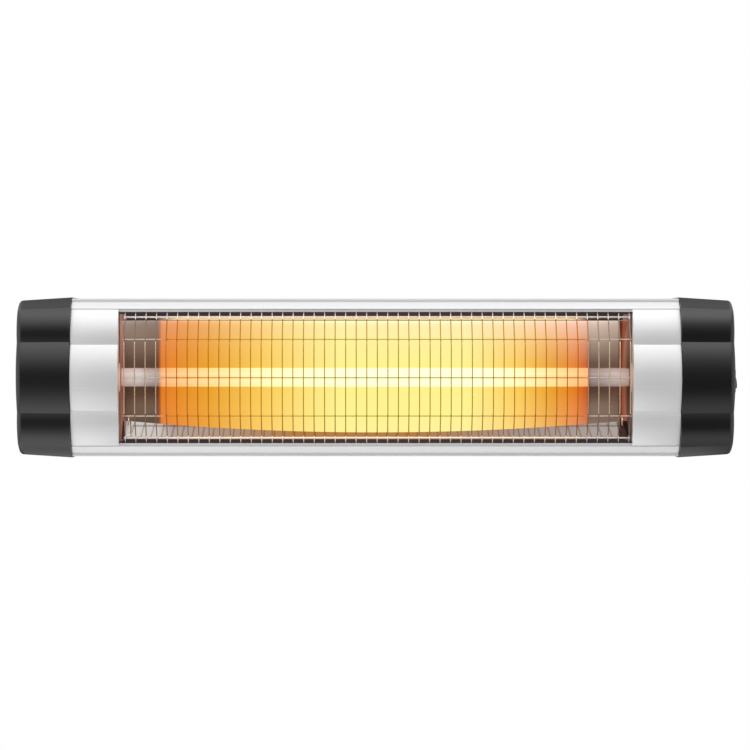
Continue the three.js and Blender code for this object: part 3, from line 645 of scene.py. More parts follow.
def colours_along(tree: NodeTree, value: Any, stops: Stops, unit: float = 1.0) -> Any:
    """Lead a value through colours: its range is mapped to the length of a ramp.

    Args:
        tree: the node tree.
        value: the socket that drives the colour.
        stops: values with their sRGB hex colours or grey levels, in rising order.
        unit: what the stops' values are counted in, such as a millimetre.

    Returns:
        The colour's socket.
    """
    low, high = stops[0][0], stops[-1][0]
    share = add(tree, "ShaderNodeMapRange", {"From Min": low * unit, "From Max": high * unit,
                                             "To Min": 0.0, "To Max": 1.0}, {"Value": value})
    places = [((place - low) / (high - low), shade_of(stop)) for place, stop in stops]
    return add(tree, "ShaderNodeValToRGB", {"stops": places}, {0: share.outputs["Result"]}).outputs[0]


@dataclass(frozen=True)
class Finish:
    """A surface with an even colour and a fine pattern in its gloss and relief.

    The pattern's cell is a real size in millimetres along each axis, so a long cell makes streaks. Its
    noise is used between the two values of its range.
    """

    name: str
    colour: str
    shade: str
    metallic: float
    roughness: float
    roughness_spread: float = 0.06
    cell: Point = (0.8, 0.8, 0.8)
    relief: float = 0.0
    specular: float = 0.5
    coat: float = 0.0
    noise_range: Pair = (0.3, 0.7)

    def build(self) -> Material:
        """Make the material, or give it if it is there already.

        Returns:
            The material.
        """
        known = bpy.data.materials.get(self.name)
        if known:
            return known
        material = bpy.data.materials.new(self.name)
        material.use_nodes = True
        tree = material.node_tree
        tree.nodes.clear()
        shader = add(tree, "ShaderNodeBsdfPrincipled", {"Metallic": self.metallic,
                                                        "Specular IOR Level": self.specular,
                                                        "Coat Weight": self.coat})
        self.pattern(tree, shader)
        add(tree, "ShaderNodeOutputMaterial", links={"Surface": shader.outputs[0]})
        return material

    def grain(self, tree: NodeTree) -> Any:
        """Add the fine pattern.

        Args:
            tree: the material's node tree.

        Returns:
            The socket of the pattern's value.
        """
        place = add(tree, "ShaderNodeTexCoord").outputs["Object"]
        scale = tuple(1 / (size * MM) for size in self.cell)
        laid = add(tree, "ShaderNodeMapping", {"Scale": scale}, {"Vector": place})
        noise = add(tree, "ShaderNodeTexNoise", {"Scale": 1.0, "Detail": 3.0, "Roughness": 0.55},
                    {"Vector": laid.outputs[0]})
        return noise.outputs["Fac"]

    def pattern(self, tree: NodeTree, shader: Node) -> None:
        """Lead the pattern to the shader's colour, roughness and relief.

        Args:
            tree: the material's node tree.
            shader: its shader.
        """
        grain = self.grain(tree)
        low, high = self.noise_range
        colour = colours_along(tree, grain, [(low, self.shade), (high, self.colour)])
        tree.links.new(colour, shader.inputs["Base Color"])
        gloss = add(tree, "ShaderNodeMapRange", {
            "From Min": low, "From Max": high, "To Min": self.roughness - self.roughness_spread,
            "To Max": self.roughness + self.roughness_spread}, {"Value": grain})
        tree.links.new(gloss.outputs["Result"], shader.inputs["Roughness"])
        if self.relief > 0:
            bump = add(tree, "ShaderNodeBump", {"Strength": 0.5, "Distance": self.relief * MM},
                       {"Height": grain})
            tree.links.new(bump.outputs[0], shader.inputs["Normal"])


@dataclass(frozen=True)
class LampLit(Finish):
    """A finish near the lamp: its colour, and the lamp's light in it as an emission, change along the
    heater.

    The places are in millimetres and count as they lie in the plane of the opening: the glow and the
    tints fan out from the front to the back. Away from the lamp's own glass and ribbon the glow is painted
    light, and its pale mixed-in colour is a painted reflection.
    """

    tints: tuple[tuple[float, str], ...] = ()
    glow: tuple[tuple[float, str], ...] = ()
    haze: str = ""
    haze_along: tuple[Pair, ...] = ()
    haze_up: tuple[Pair, ...] = ()
    fan: float = 0.585
    opening_y: float = -0.13

    def pattern(self, tree: NodeTree, shader: Node) -> None:
        """Lead the tints, the glow and its painted reflection to the shader.

        Args:
            tree: the material's node tree.
            shader: its shader.
        """
        super().pattern(tree, shader)
        place = add(tree, "ShaderNodeTexCoord").outputs["Object"]
        axes = add(tree, "ShaderNodeSeparateXYZ", links={0: place}).outputs
        narrow = add(tree, "ShaderNodeMath", {"operation": "MULTIPLY_ADD", 1: -self.fan,
                                              2: 1 + self.fan * self.opening_y}, {0: axes[1]})
        along = add(tree, "ShaderNodeMath", {"operation": "MULTIPLY"},
                    {0: axes[0], 1: narrow.outputs[0]}).outputs[0]
        if self.tints:
            tree.links.new(colours_along(tree, along, self.tints, MM), shader.inputs["Base Color"])
        # On parts other than the lamp's glass and ribbon, this emission is painted light.
        if self.glow:
            glow = colours_along(tree, along, self.glow, MM)
            if self.haze:
                share = add(tree, "ShaderNodeMath", {"operation": "MULTIPLY"},
                            {0: colours_along(tree, along, self.haze_along, MM),
                             1: colours_along(tree, axes[2], self.haze_up, MM)})
                glow = add(tree, "ShaderNodeMix", {"data_type": "RGBA", 7: linear(self.haze)},
                           {0: share.outputs[0], 6: glow}).outputs[2]
            tree.links.new(glow, shader.inputs["Emission Color"])
            shader.inputs["Emission Strength"].default_value = 1.0


# Aluminium drawn through a die and satin anodised: soft broad highlights with faint lines along it.
ANODISED = Finish("satin_anodised_aluminium", "#F1F1F2", "#EBEBEC", 0.66, 0.45, 0.04,
                  cell=(140, 0.5, 0.5), relief=0.004)
# Moulded ABS with a fine spark texture: nearly black, with a dull sheen on its rounds.
BLACK_ABS = Finish("moulded_black_abs", "#0E0E10", "#0B0B0C", 0.0, 0.17, 0.03, cell=(0.7, 0.7, 0.7),
                   relief=0.004, specular=0.78)
# Polished ABS of the switch's lever: black, with sharp highlights.
GLOSS_ABS = Finish("polished_black_abs", "#0B0B0C", "#070708", 0.0, 0.12, 0.03, cell=(3, 3, 3))
# Bright zinc plate on steel: pale grey with cloudy patches.
ZINC = Finish("bright_zinc_plated_steel", "#C9CBCD", "#B5B8BB", 1.0, 0.34, 0.08, cell=(4, 4, 4))
# Rolled steel with black powder coat: an orange-peel relief of about 1.5 mm.
POWDER_COAT = Finish("black_powder_coated_steel", "#1B1C1E", "#151618", 0.0, 0.45, 0.08,
                     cell=(1.5, 1.5, 1.5), relief=0.05)
# The bright sheet's back, left as it was rolled: grey, with dull streaks along the heater.
SHEET_BACK = Finish("mill_finish_aluminium", "#C4C5C6", "#B4B5B7", 1.0, 0.4, 0.08, cell=(60, 2, 2))
# Black nylon of a cable gland, moulded with a dull skin.
BLACK_NYLON = Finish("moulded_black_nylon", "#1A1B1C", "#131415", 0.0, 0.42, cell=(1.2, 1.2, 1.2),
                     relief=0.02)
# Moulded nylon washers: a warm white with a waxy, slightly cloudy surface.
WHITE_NYLON = Finish("moulded_white_nylon", "#E2E0DA", "#D6D3CC", 0.0, 0.45, 0.05, cell=(1.5, 1.5, 1.5))
# Moulded terminal block: cream and matt, with faint flow marks.
CREAM_PLASTIC = Finish("cream_terminal_plastic", "#E6E1D0", "#D9D3BF", 0.0, 0.5, 0.05, cell=(2, 2, 2))
# Moulded rubber grommets: mid grey, with hardly any gloss.
GREY_RUBBER = Finish("grey_moulded_rubber", "#77797C", "#6A6C6F", 0.0, 0.6, cell=(1, 1, 1))
# Extruded silicone round the inner leads: matt skins that tell the leads apart by colour.
RED_SILICONE, WHITE_SILICONE, EARTH_SILICONE = (
    Finish(f"{name}_silicone", colour, shade, 0.0, 0.55)
    for name, colour, shade in (("red_brown", "#9A3A2C", "#873024"), ("white", "#DEDCD4", "#CFCDC4"),
                                ("green", "#5A8F2E", "#4C7D25")))

# The lamp's light painted on bright metal as a glow, from where the ribbon ends to its hottest middle.
EMBER, AMBER, GOLD, STRAW = "#DE7A24", "#E4A02B", "#F4CA5A", "#FBF08E"
# The same light in the quartz glass, which holds more of it.
PEACH, HONEY, CREAM, IVORY = "#F7AB6F", "#FAD78E", "#FFF8BC", "#FDFDD6"

# The extrusion's inside faces, seen through the opening: dark brown as painted shade, with the lamp's light
# painted on them as a faint glow and as a pale band near their top.
PAINTED_SHADE_INSIDE = LampLit(
    "heat_dulled_aluminium", "#3A302C", "#2A2220", 0.5, 0.6, cell=(60, 2, 2),
    glow=((-270, "#362E2F"), (0, "#443634"), (270, "#362E2F")),
    haze="#F0D2A0", haze_along=((-226, 0.0), (-205, 1.0), (205, 1.0), (222, 0.0)),
    haze_up=((57.0, 0.0), (57.4, 1.0), (63.3, 1.0), (63.9, 0.0)))
# Mirror sheet: taupe at its cold ends, which carry a dim painted glow; between them the lamp's reflection is
# painted as a bright glow, with a pale painted reflection of the studio's light that grows towards its top.
# Past its right end it has the end sheets' dark red band and lighter copper strip, the strip a painted
# highlight.
MIRROR = LampLit(
    "heated_mirror_sheet", "#9A8478", "#8F796D", 1.0, 0.3, 0.04, cell=(150, 1.5, 1.5),
    tints=((-227, "#726250"), (-224, "#6A3A2A"), (-223, "#4A2F18"), (222, "#4A2F18"), (224, "#7C6C5E"),
           (253, "#7C6C5E"), (253.8, "#5A3428"), (255.8, "#5A3428"), (256.8, "#A8664C"), (263, "#A8664C")),
    glow=((-227, "#38281F"), (-224, "#52261A"), (-221.6, EMBER), (-170, AMBER), (-115, GOLD), (-35, STRAW),
          (95, STRAW), (148, GOLD), (182, AMBER), (207, EMBER), (219, "#C85A1C"), (223, "#3C2D26"),
          (253, "#3C2D26"), (253.8, "#4A2218"), (255.8, "#4A2218"), (256.8, "#70432D"),
          (263, "#70432D")),
    haze="#FFE6D2", haze_along=((-261, 0.3), (-200, 0.17), (0, 0.45), (150, 0.62), (230, 0.65),
                                (252.6, 0.5), (253.8, 0.0)),
    haze_up=((-57, 0.25), (-34, 0.1), (-14, 0.0), (15, 0.08), (34, 0.35), (57, 1.0)))
# End sheets of the same metal: copper red, with dark bands at their edges as painted shade and a lighter
# copper strip as a painted highlight; the lamp's light is painted on them as a faint glow, with a pale
# painted reflection that grows towards their tops.
COPPER_RED_SHEET = LampLit(
    "heat_stained_sheet", "#A8664C", "#9A5A42", 1.0, 0.3, 0.05, cell=(9, 9, 40),
    tints=((-262, "#A8664C"), (-261, "#5A3026"), (-259.8, "#5A3026"), (-259, "#726250"),
           (256, "#726250"), (257, "#A8664C"), (261.2, "#A8664C"), (261.8, "#3A2A24")),
    glow=((-262, "#6A4034"), (-261, "#3C1A14"), (-259.8, "#3C1A14"), (-259, "#38281F"),
          (256, "#38281F"), (257, "#76472F"), (261.2, "#7A4833"), (261.8, "#2A1E1A")),
    haze="#C9A79A", haze_along=((-270, 0.5), (270, 0.5)),
    haze_up=((-60, 0.2), (-34, 0.1), (-14, 0.0), (15, 0.1), (34, 0.3), (57, 0.5)))
# Bright rolled sheet of the shelf: a clear mirror, lighter towards its left end as painted light and darker
# towards its right, orange-brown along its middle, and dark at its very ends.
SHELF_SHEET = LampLit(
    "bright_rolled_sheet", "#D6D1CD", "#C9C4C0", 1.0, 0.08, 0.02, cell=(120, 1.2, 1.2),
    tints=((-260.8, "#4A3532"), (-260.3, "#CAC5C0"), (-226, "#C8C0BA"), (-212, "#AA9E98"), (-140, "#A88C78"),
           (-80, "#B07844"), (40, "#B07844"), (100, "#A88472"), (160, "#9C8E87"), (252.5, "#A69C96"),
           (253, "#4A3532")))
# Quartz glass: lit by its ribbon between the ends, and milky where the ribbon stops.
QUARTZ = LampLit(
    "milky_quartz_glass", "#E6DCDC", "#D8CCCE", 0.0, 0.18, 0.04, cell=(30, 3, 3), coat=0.3,
    tints=((-262, "#E6DEDC"), (-226, "#BCAEA8"), (-222, "#7A5636"), (221, "#7A5636"), (224, "#A89694"),
           (258, "#D4C4C0")),
    glow=((-262, "#746560"), (-246, "#7C7472"), (-236, "#484040"), (-223.6, "#443C3A"), (-222.6, PEACH),
          (-172, HONEY), (-110, CREAM), (-25, IVORY), (108, IVORY), (145, CREAM), (190, HONEY),
          (220.6, PEACH), (221.6, "#3A302E"), (232, "#3A3230"), (248, "#6A605A"), (263, "#70503F")))
# Unglazed steatite beside the lamp: a warm white, with the lamp's light on it painted as a faint glow.
CERAMIC = LampLit("unglazed_steatite", "#E8CFC0", "#DDBFAE", 0.0, 0.62, cell=(1.6, 1.6, 1.6),
                  relief=0.02, glow=((-280, "#A88C80"), (0, "#A88C80"), (280, "#B09284")))
# Chromed wire: pale at its ends, and tinted orange to yellow along the lamp's stretch as painted lamp light.
CHROME = LampLit("heat_browned_chrome_wire", "#D9D3CE", "#CFC8C3", 1.0, 0.4, 0.04, cell=(2, 2, 2),
                 tints=((-228, "#E0D4C8"), (-216, "#DC8C20"), (-150, "#DCA42C"), (-62, "#C8BC4C"),
                        (112, "#C8BC4C"), (156, "#DCA430"), (215, "#DC8A20"), (227, "#E6DACC")))
# The wire's sloping stretches and the backs of its front stretch: darker as painted shade, with the same
# painted lamp light along the lamp's stretch.
SHADED_WIRE = LampLit("dulled_chrome_wire", "#A09488", "#948880", 1.0, 0.4, 0.04, cell=(2, 2, 2),
                    tints=((-228, "#8A7C72"), (-216, "#B0701C"), (-62, "#A89440"), (112, "#A89440"),
                           (215, "#B0701C"), (227, "#94867A")))
# Chromed wire of the hooks, the thick cross wires and the clips: nearly white as a painted highlight, with
# the lamp's light painted in it as a faint glow between the ends.
PAINTED_HIGHLIGHT_WIRE = LampLit("bright_chromed_wire", "#F2E9E4", "#E6DCD6", 1.0, 0.3, 0.04, cell=(2, 2, 2),
                      glow=((-228, "#2A2624"), (-200, "#7A6650"), (200, "#7A6650"), (228, "#2A2624")))
# Pressed carbon ribbon at heat: black at its clamped ends and pale yellow in its middle.
CARBON = LampLit("glowing_carbon_ribbon", "#2A2624", "#1E1B1A", 0.0, 0.7, cell=(1, 1, 1),
                 glow=((-228, "#1E1B1A"), (-226, "#FFB45E"), (0, "#FFF3C2"), (226, "#FFB45E"),
                       (228, "#1E1B1A")))


def dress(piece: Object, body: Body, slot: str, *finishes: Finish, replaces: tuple[str, ...] = ()) -> None:
    """Give a finished piece its materials, its body and the nodes that it stands for.

    Args:
        piece: the finished mesh object.
        body: the body that it rides on.
        slot: not used.
        finishes: its finishes, in the order of its material slots.
        replaces: the frame nodes that it stands for.
    """
    indices = [face.material_index for face in piece.data.polygons]
    piece.data.materials.clear()
    for finish in finishes:
        piece.data.materials.append(finish.build())
    piece.data.polygons.foreach_set("material_index", indices)
    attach(piece, body.value)
    if replaces:
        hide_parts(*replaces)
    LOG.info("%s rides on %s with %d faces", piece.name, body.value, len(piece.data.polygons))


# ---------- Sub-assemblies ----------
@dataclass
class Section:
    """The housing's outline, as depths behind the face and heights above the middle."""

    face_y: float = -150.0
    crease_depth: float = 5.7
    seam_depth: float = 12.6
    side_radius: float = 70.0
    seam_half: float = 71.0
    rail_radius: float = 40.0
    rail_top_depth: float = 23.0
    half_height: float = 82.0
    top_end_depth: float = 62.0
    back_depth: float = 92.0
    back_half: float = 62.0
    corner_radius: float = 30.0
    lobe_steps: int = 12
    middle_lobe_extra: int = 4
    rail_steps: int = 4

    def at(self, depth: float) -> float:
        """Give the frame's y at a depth behind the face."""
        return self.face_y + depth

    def grow_face(self, line: Line, crease_half: float, edge_half: float, steps: int) -> Line:
        """Grow a line up the three lobes of the face, from its lower edge to its upper one.

        Args:
            line: the line, standing at the lower edge.
            crease_half: the creases' height.
            edge_half: the upper edge's height.
            steps: how many edges each outer lobe gets.

        Returns:
            The line.
        """
        middle = arc_radius(crease_half, self.crease_depth)
        line.arc(self.at(self.crease_depth), -crease_half, self.side_radius, steps)
        line.arc(self.at(self.crease_depth), crease_half, middle, steps + self.middle_lobe_extra)
        return line.arc(self.at(self.seam_depth), edge_half, self.side_radius, steps)

    def outline(self, name: str, x: float, crease_half: float) -> Line:
        """Grow the whole closed outline at one x.

        Args:
            name: the object's name.
            x: where the outline stands.
            crease_half: the creases' height.

        Returns:
            The line, back at its start.
        """
        line = Line(name, Along.X, (self.at(self.seam_depth), -self.seam_half), x)
        self.grow_face(line, crease_half, self.seam_half, self.lobe_steps)
        line.arc(self.at(self.rail_top_depth), self.half_height, self.rail_radius, self.rail_steps)
        line.to(self.at(self.top_end_depth), self.half_height)
        line.arc(self.at(self.back_depth), self.back_half, self.corner_radius, self.lobe_steps)
        line.to(self.at(self.back_depth), -self.back_half)
        line.arc(self.at(self.top_end_depth), -self.half_height, self.corner_radius, self.lobe_steps)
        line.to(self.at(self.rail_top_depth), -self.half_height)
        return line.arc(self.at(self.seam_depth), -self.seam_half, self.rail_radius, self.rail_steps)


@dataclass
class Housing:
    """The extruded shell with the silver front pieces beside the opening."""

    section: Section
    crease_half: float = 34.0
    panel_gap: float = 0.3
    panel_thickness: float = 1.2
    panel_steps: int = 16
    fold_inset: float = 3.0
    edge_round: float = 0.45
    shell_round: float = 0.3

    def build(self) -> None:
        """Make the shell and both front pieces."""
        shell = frame_copy("body_extrusion", "housing_shell")
        bevel(shell, self.shell_round, angle=50)
        smooth(shell, angle=25, flat=True)
        middle_y = self.section.at(self.section.back_depth / 2)
        add_slots(shell, 2)
        # Faces that look into the housing take the second finish, which paints them dark as shade.
        for face in shell.data.polygons:
            off = face.center / MM - Vector((0, middle_y, 0))
            if off.y * face.normal.y + off.z * face.normal.z < 0:
                face.material_index = 1
        dress(shell, Body.HEATER, "aluminium", ANODISED, PAINTED_SHADE_INSIDE, replaces=("body_extrusion",))
        for side in Side:
            self.front_piece(side)

    def front_piece(self, side: Side) -> None:
        """Roll the three lobes of a front piece and fold its inner edge back.

        Args:
            side: the end of the opening that it stands at.
        """
        node = f"front_panel_{side.word}"
        low, high = box_mm(node)
        edge_half = self.section.seam_half - self.panel_gap
        start = (self.section.at(self.section.seam_depth), -edge_half)
        line = Line(f"front_piece_{side.word}", Along.X, start, low.x, high.x)
        panel = self.section.grow_face(line, self.crease_half, edge_half, self.panel_steps).flow()
        face_towards(panel, (0, -1, 0))
        inner_x = span_mm("front_panel", side)[0]
        fold_half = self.section.seam_half - self.fold_inset
        with editing(panel):
            pick(panel, Element.EDGE, lambda edge: all(
                abs(v.co.x / MM - inner_x) < MERGE and abs(v.co.z / MM) < fold_half for v in edge.verts))
            bpy.ops.mesh.extrude_region_move()
            bpy.ops.transform.resize(value=(1, 0, 1), center_override=(0, high.y * MM, 0))
        modify(panel, "SOLIDIFY", thickness=self.panel_thickness * MM, offset=-1, use_even_offset=True)
        bevel(panel, self.edge_round, segments=3, angle=50)
        smooth(panel, angle=20)
        dress(panel, Body.HEATER, "aluminium", ANODISED, replaces=(node,))


@dataclass
class EndCaps:
    """The moulded caps on the housing's ends, with their screws."""

    section: Section
    crease_half: float = 36.2
    proud: float = 1.2
    draft: float = 3.1
    rounding: float = 6.0
    round_steps: int = 8
    wall: float = 2.5
    post_radius: float = 5.0
    post_start: float = 1.8
    post_sides: int = 32
    recess_radius: float = 4.3
    recess_depth: float = 5.0
    screw_hole: float = 2.3
    post_y: float = -104.0
    post_height: float = 72.0
    pad_radius: float = 13.0
    pad_thickness: float = 6.5
    gland_hole: float = 8.0
    switch_hole_half: Pair = (6.6, 10.8)
    switch_hole_depth: float = 8.0
    cutter_past: float = 2.0
    rim_round: float = 0.5
    rim_reach: float = 1.2
    rim_match: float = 0.05
    upright_normal: float = 0.3

    def build(self) -> None:
        """Make both caps and their four screws."""
        for side in Side:
            cap = self.shell(side)
            for level in Level:
                self.screw_post(cap, side, level)
            self.round_recesses(cap, side)
            if side is Side.RIGHT:
                self.gland_pad(cap)
                self.switch_hole(cap)
            smooth(cap, angle=15)
            dress(cap, Body.HEATER, "black_plastic", BLACK_ABS, replaces=(f"end_cap_{side.word}",))
        self.screws()

    def shell(self, side: Side) -> Object:
        """Pull a cap out of its outline with a draft, round its end and hollow it.

        Args:
            side: the cap's end of the heater.

        Returns:
            The hollow cap, open at its mouth.
        """
        mouth, end = span_mm("end_cap", side)
        cap = self.section.outline(f"end_cap_{side.word}_moulding", mouth, self.crease_half).fill()
        middle_y = self.section.at(self.section.back_depth / 2)
        grow_y = 1 + self.proud / (self.section.back_depth / 2)
        grow_z = 1 + self.proud / self.section.half_height
        face_towards(cap, (side.value, 0, 0))
        with editing(cap):
            bpy.ops.mesh.select_all(action="SELECT")
            bpy.ops.transform.resize(value=(1, grow_y, grow_z), center_override=(0, middle_y * MM, 0))
            straight = abs(end - mouth) - self.rounding
            bpy.ops.mesh.inset(thickness=self.draft * MM, depth=straight * MM)
            for i in range(self.round_steps):
                before, after = (math.pi / 2 * k / self.round_steps for k in (i, i + 1))
                inwards = self.rounding * (math.cos(before) - math.cos(after))
                outwards = self.rounding * (math.sin(after) - math.sin(before))
                bpy.ops.mesh.inset(thickness=inwards * MM, depth=outwards * MM)
        modify(cap, "SOLIDIFY", thickness=self.wall * MM, offset=-1, use_even_offset=True)
        return cap

    def screw_post(self, cap: Object, side: Side, level: Level) -> None:
        """Add a screw's post inside a cap, and sink its head's recess and its hole.

        Args:
            cap: the cap.
            side: the cap's end of the heater.
            level: the screw's height.
        """
        mouth, end = span_mm("end_cap", side)
        sign = side.value
        centre = (self.post_y, level.value * self.post_height)
        root = mouth + sign * self.post_start
        for name, start, stop, radius, use in (
                ("post", root, end - sign * self.wall / 2, self.post_radius, Use.JOIN),
                ("recess", end - sign * self.recess_depth, end + sign, self.recess_radius, Use.CUT),
                ("hole", mouth, end + sign, self.screw_hole, Use.CUT)):
            combine(cap, rod(name, Along.X, start, stop, centre, radius, self.post_sides), use)

    def near_rim(self, place: Vector, end: float) -> bool:
        """Tell whether a place in millimetres lies on the rim of a screw's recess."""
        reach = math.hypot(place.y - self.post_y, abs(place.z) - self.post_height)
        return abs(place.x - end) <= self.rim_reach and abs(reach - self.recess_radius) <= self.rim_match

    def round_recesses(self, cap: Object, side: Side) -> None:
        """Round the rims of the two screw recesses.

        Args:
            cap: the cap.
            side: the cap's end of the heater.
        """
        end = span_mm("end_cap", side)[1]
        with editing(cap):
            pick(cap, Element.EDGE, lambda edge: all(
                self.near_rim(vertex.co / MM, end) for vertex in edge.verts) and any(
                abs(face.normal.x) < self.upright_normal for face in edge.link_faces))
            bpy.ops.mesh.bevel(offset=self.rim_round * MM, segments=2)

    def gland_pad(self, cap: Object) -> None:
        """Add the flat pad for the cable gland on the right cap's back, with its hole.

        Args:
            cap: the right cap.
        """
        centre = centre_mm("cable_gland", Along.Y)
        outer = self.section.at(self.section.back_depth + self.proud)
        inner = outer - self.pad_thickness
        past = self.cutter_past
        combine(cap, rod("pad", Along.Y, inner, outer, centre, self.pad_radius), Use.JOIN)
        combine(cap, rod("hole", Along.Y, inner - past, outer + past, centre, self.gland_hole), Use.CUT)

    def switch_hole(self, cap: Object) -> None:
        """Cut the switch's hole in the right cap's end.

        Args:
            cap: the right cap.
        """
        low, high = box_mm("switch_housing")
        middle = (low + high) / 2
        half_y, half_z = self.switch_hole_half
        end = span_mm("end_cap", Side.RIGHT)[1]
        hole = block("hole", (end - self.switch_hole_depth, middle.y - half_y, middle.z - half_z),
                     (end + self.cutter_past, middle.y + half_y, middle.z + half_z))
        combine(cap, hole, Use.CUT)

    def screws(self) -> None:
        """Make one cap screw and copy it to the other three places."""
        low, high = box_mm("cap_screw_right_upper")
        first = PanScrew(shank=2.0, head=4.0, height=2.6, tip=low.x, top=high.x).build("cap_screw")
        for side in Side:
            turn = 0.0 if side is Side.RIGHT else 180.0
            for level in Level:
                node = f"cap_screw_{side.word}_{level.word}"
                place = (0, self.post_y, level.value * self.post_height)
                dress(fresh_copy(first, f"{node}_pan_head", place, turn), Body.HEATER, "zinc_steel", ZINC,
                      replaces=(node,))
        bpy.data.objects.remove(first)


@dataclass
class PanScrew:
    """A pan-head screw with a cross recess, along X through the frame's origin.

    The shares are of the head's radius or, where they say so, of its height.
    """

    shank: float
    head: float
    height: float
    tip: float
    top: float
    taper: float = 1.2
    crown_share: float = 0.8
    flat_share: float = 0.5
    arm_share: float = 0.55
    slot_share: float = 0.13
    brim_height_share: float = 0.5
    crown_height_share: float = 0.15
    cross_height_share: float = 0.6
    cutter_past: float = 1.0
    edge_round: float = 0.12

    def build(self, name: str) -> Object:
        """Turn the screw and cut its cross.

        Args:
            name: the piece's name.

        Returns:
            The screw.
        """
        seat = self.top - self.height
        screw = turned(name, Along.X, (0, 0), [
            (self.tip, 0.0), (self.tip + self.taper, self.shank), (seat, self.shank), (seat, self.head),
            (seat + self.height * self.brim_height_share, self.head),
            (self.top - self.height * self.crown_height_share, self.head * self.crown_share),
            (self.top, self.head * self.flat_share), (self.top, 0.0)])
        arm, width = self.head * self.arm_share, self.head * self.slot_share
        floor = self.top - self.height * self.cross_height_share
        for half_y, half_z in ((arm, width), (width, arm)):
            slot = block("slot", (floor, -half_y, -half_z), (self.top + self.cutter_past, half_y, half_z))
            combine(screw, slot, Use.CUT)
        bevel(screw, self.edge_round, angle=40)
        smooth(screw, angle=35)
        return screw


@dataclass
class Optics:
    """The mirror bowl, the shelf below it with its arched front, the end sheets and the clips."""

    section: Section
    thickness: float = 0.8
    front_depth: float = 20.0
    bowl: float = 42.0
    bowl_steps: int = 24
    top_half: float = 58.7
    lower_half: float = 45.3
    edge_depth: float = 26.5
    edge_half: float = 57.5
    arc_low: float = 57.2
    arc_rise: float = 12.0
    arc_sides: int = 1024
    end_x: float = 264.0
    shelf_thickness: float = 0.6
    shelf_run: float = 12.5
    cutter_ahead: float = 1.0
    cutter_short: float = 8.0
    sheet_round: float = 0.15
    clip_wire: float = 0.7
    clip_aside: float = -0.7
    clip_bend: float = 1.5
    clip_nose: Pair = (2.0, 1.0)
    clip_drop: float = 1.5

    def build(self) -> None:
        """Make the bowl, the shelf, the end sheets and the clips."""
        self.mirror()
        self.shelf()
        for side in Side:
            self.end_sheet(side)
            self.clip(side)

    def mirror(self) -> None:
        """Roll half a circle, press it to an ellipse and run it on behind the shelf's front."""
        low, high = box_mm("reflector")
        centre_y = self.section.at(self.front_depth)
        last = math.acos(-self.lower_half / self.top_half)
        half_way, end = ((centre_y + self.top_half * math.sin(angle), self.top_half * math.cos(angle))
                         for angle in (last / 2, last))
        line = Line("mirror_bowl", Along.X, (centre_y, self.top_half), low.x, high.x)
        for spot in (half_way, end):
            line.arc(*spot, self.top_half, self.bowl_steps)
        bowl = line.flow()
        with editing(bowl):
            bpy.ops.mesh.select_all(action="SELECT")
            bpy.ops.transform.resize(value=(1, self.bowl / self.top_half, 1),
                                     center_override=(0, centre_y * MM, 0))
            pick(bowl, Element.EDGE, lambda edge: all(v.co.z / MM < end[1] + MERGE for v in edge.verts))
            pressed_y = centre_y + self.bowl * math.sin(last)
            step = (0, self.section.at(self.edge_depth) - pressed_y, -self.edge_half - end[1])
            bpy.ops.mesh.extrude_region_move(TRANSFORM_OT_translate={"value": Vector(step) * MM})
        face_towards(bowl, (0, -1, 0))
        add_slots(bowl, 2)
        modify(bowl, "SOLIDIFY", thickness=self.thickness * MM, offset=-1, use_even_offset=True,
               material_offset=1, material_offset_rim=1)
        smooth(bowl)
        dress(bowl, Body.HEATER, "polished_reflector", MIRROR, SHEET_BACK, replaces=("reflector",))

    def shelf(self) -> None:
        """Fold the shelf's base and its steep front, and cut the arch in the front's upper edge."""
        low, high = box_mm("reflector_shelf")
        half = self.shelf_thickness / 2
        line = Line("mirror_shelf", Along.X, (high.y - half, low.z + half), low.x, high.x)
        line.to(low.y + 2 * half, low.z + half).to(low.y + 2 * half + self.shelf_run, high.z)
        shelf = line.flow()
        face_towards(shelf, (0, -1, 0))
        modify(shelf, "SOLIDIFY", thickness=self.shelf_thickness * MM, offset=0, use_even_offset=True)
        radius = arc_radius(self.end_x, self.arc_rise)
        disc = rod("arch", Along.Y, low.y - self.cutter_ahead, high.y - self.cutter_short,
                   (0, radius - self.arc_low), radius, self.arc_sides)
        combine(shelf, disc, Use.CUT)
        smooth(shelf, angle=20)
        dress(shelf, Body.HEATER, "polished_reflector", SHELF_SHEET, replaces=("reflector_shelf",))

    def end_sheet(self, side: Side) -> None:
        """Round an end sheet's edges.

        Args:
            side: the sheet's end of the opening.
        """
        node = f"reflector_end_{side.word}"
        sheet = frame_copy(node, f"mirror_end_{side.word}")
        bevel(sheet, self.sheet_round)
        smooth(sheet)
        dress(sheet, Body.HEATER, "polished_reflector", COPPER_RED_SHEET, replaces=(node,))

    def clip(self, side: Side) -> None:
        """Bend a spring clip.

        Args:
            side: the clip's end of the opening.
        """
        node = f"reflector_clip_{side.word}"
        low, high = box_mm(node)
        x = span_mm("reflector_clip", side)[1] + side.value * self.clip_aside
        front_y = self.section.at(self.front_depth)
        nose_y, nose_z = self.clip_nose
        clip = bent_wire(f"spring_clip_{side.word}", x, [
            (high.y, low.z), (high.y, high.z), (front_y + nose_y, high.z + nose_z),
            (front_y, high.z - self.clip_drop), (front_y, low.z)], self.clip_wire, self.clip_bend)
        smooth(clip, angle=50)
        dress(clip, Body.HEATER, "chrome_wire", PAINTED_HIGHLIGHT_WIRE, replaces=(node,))


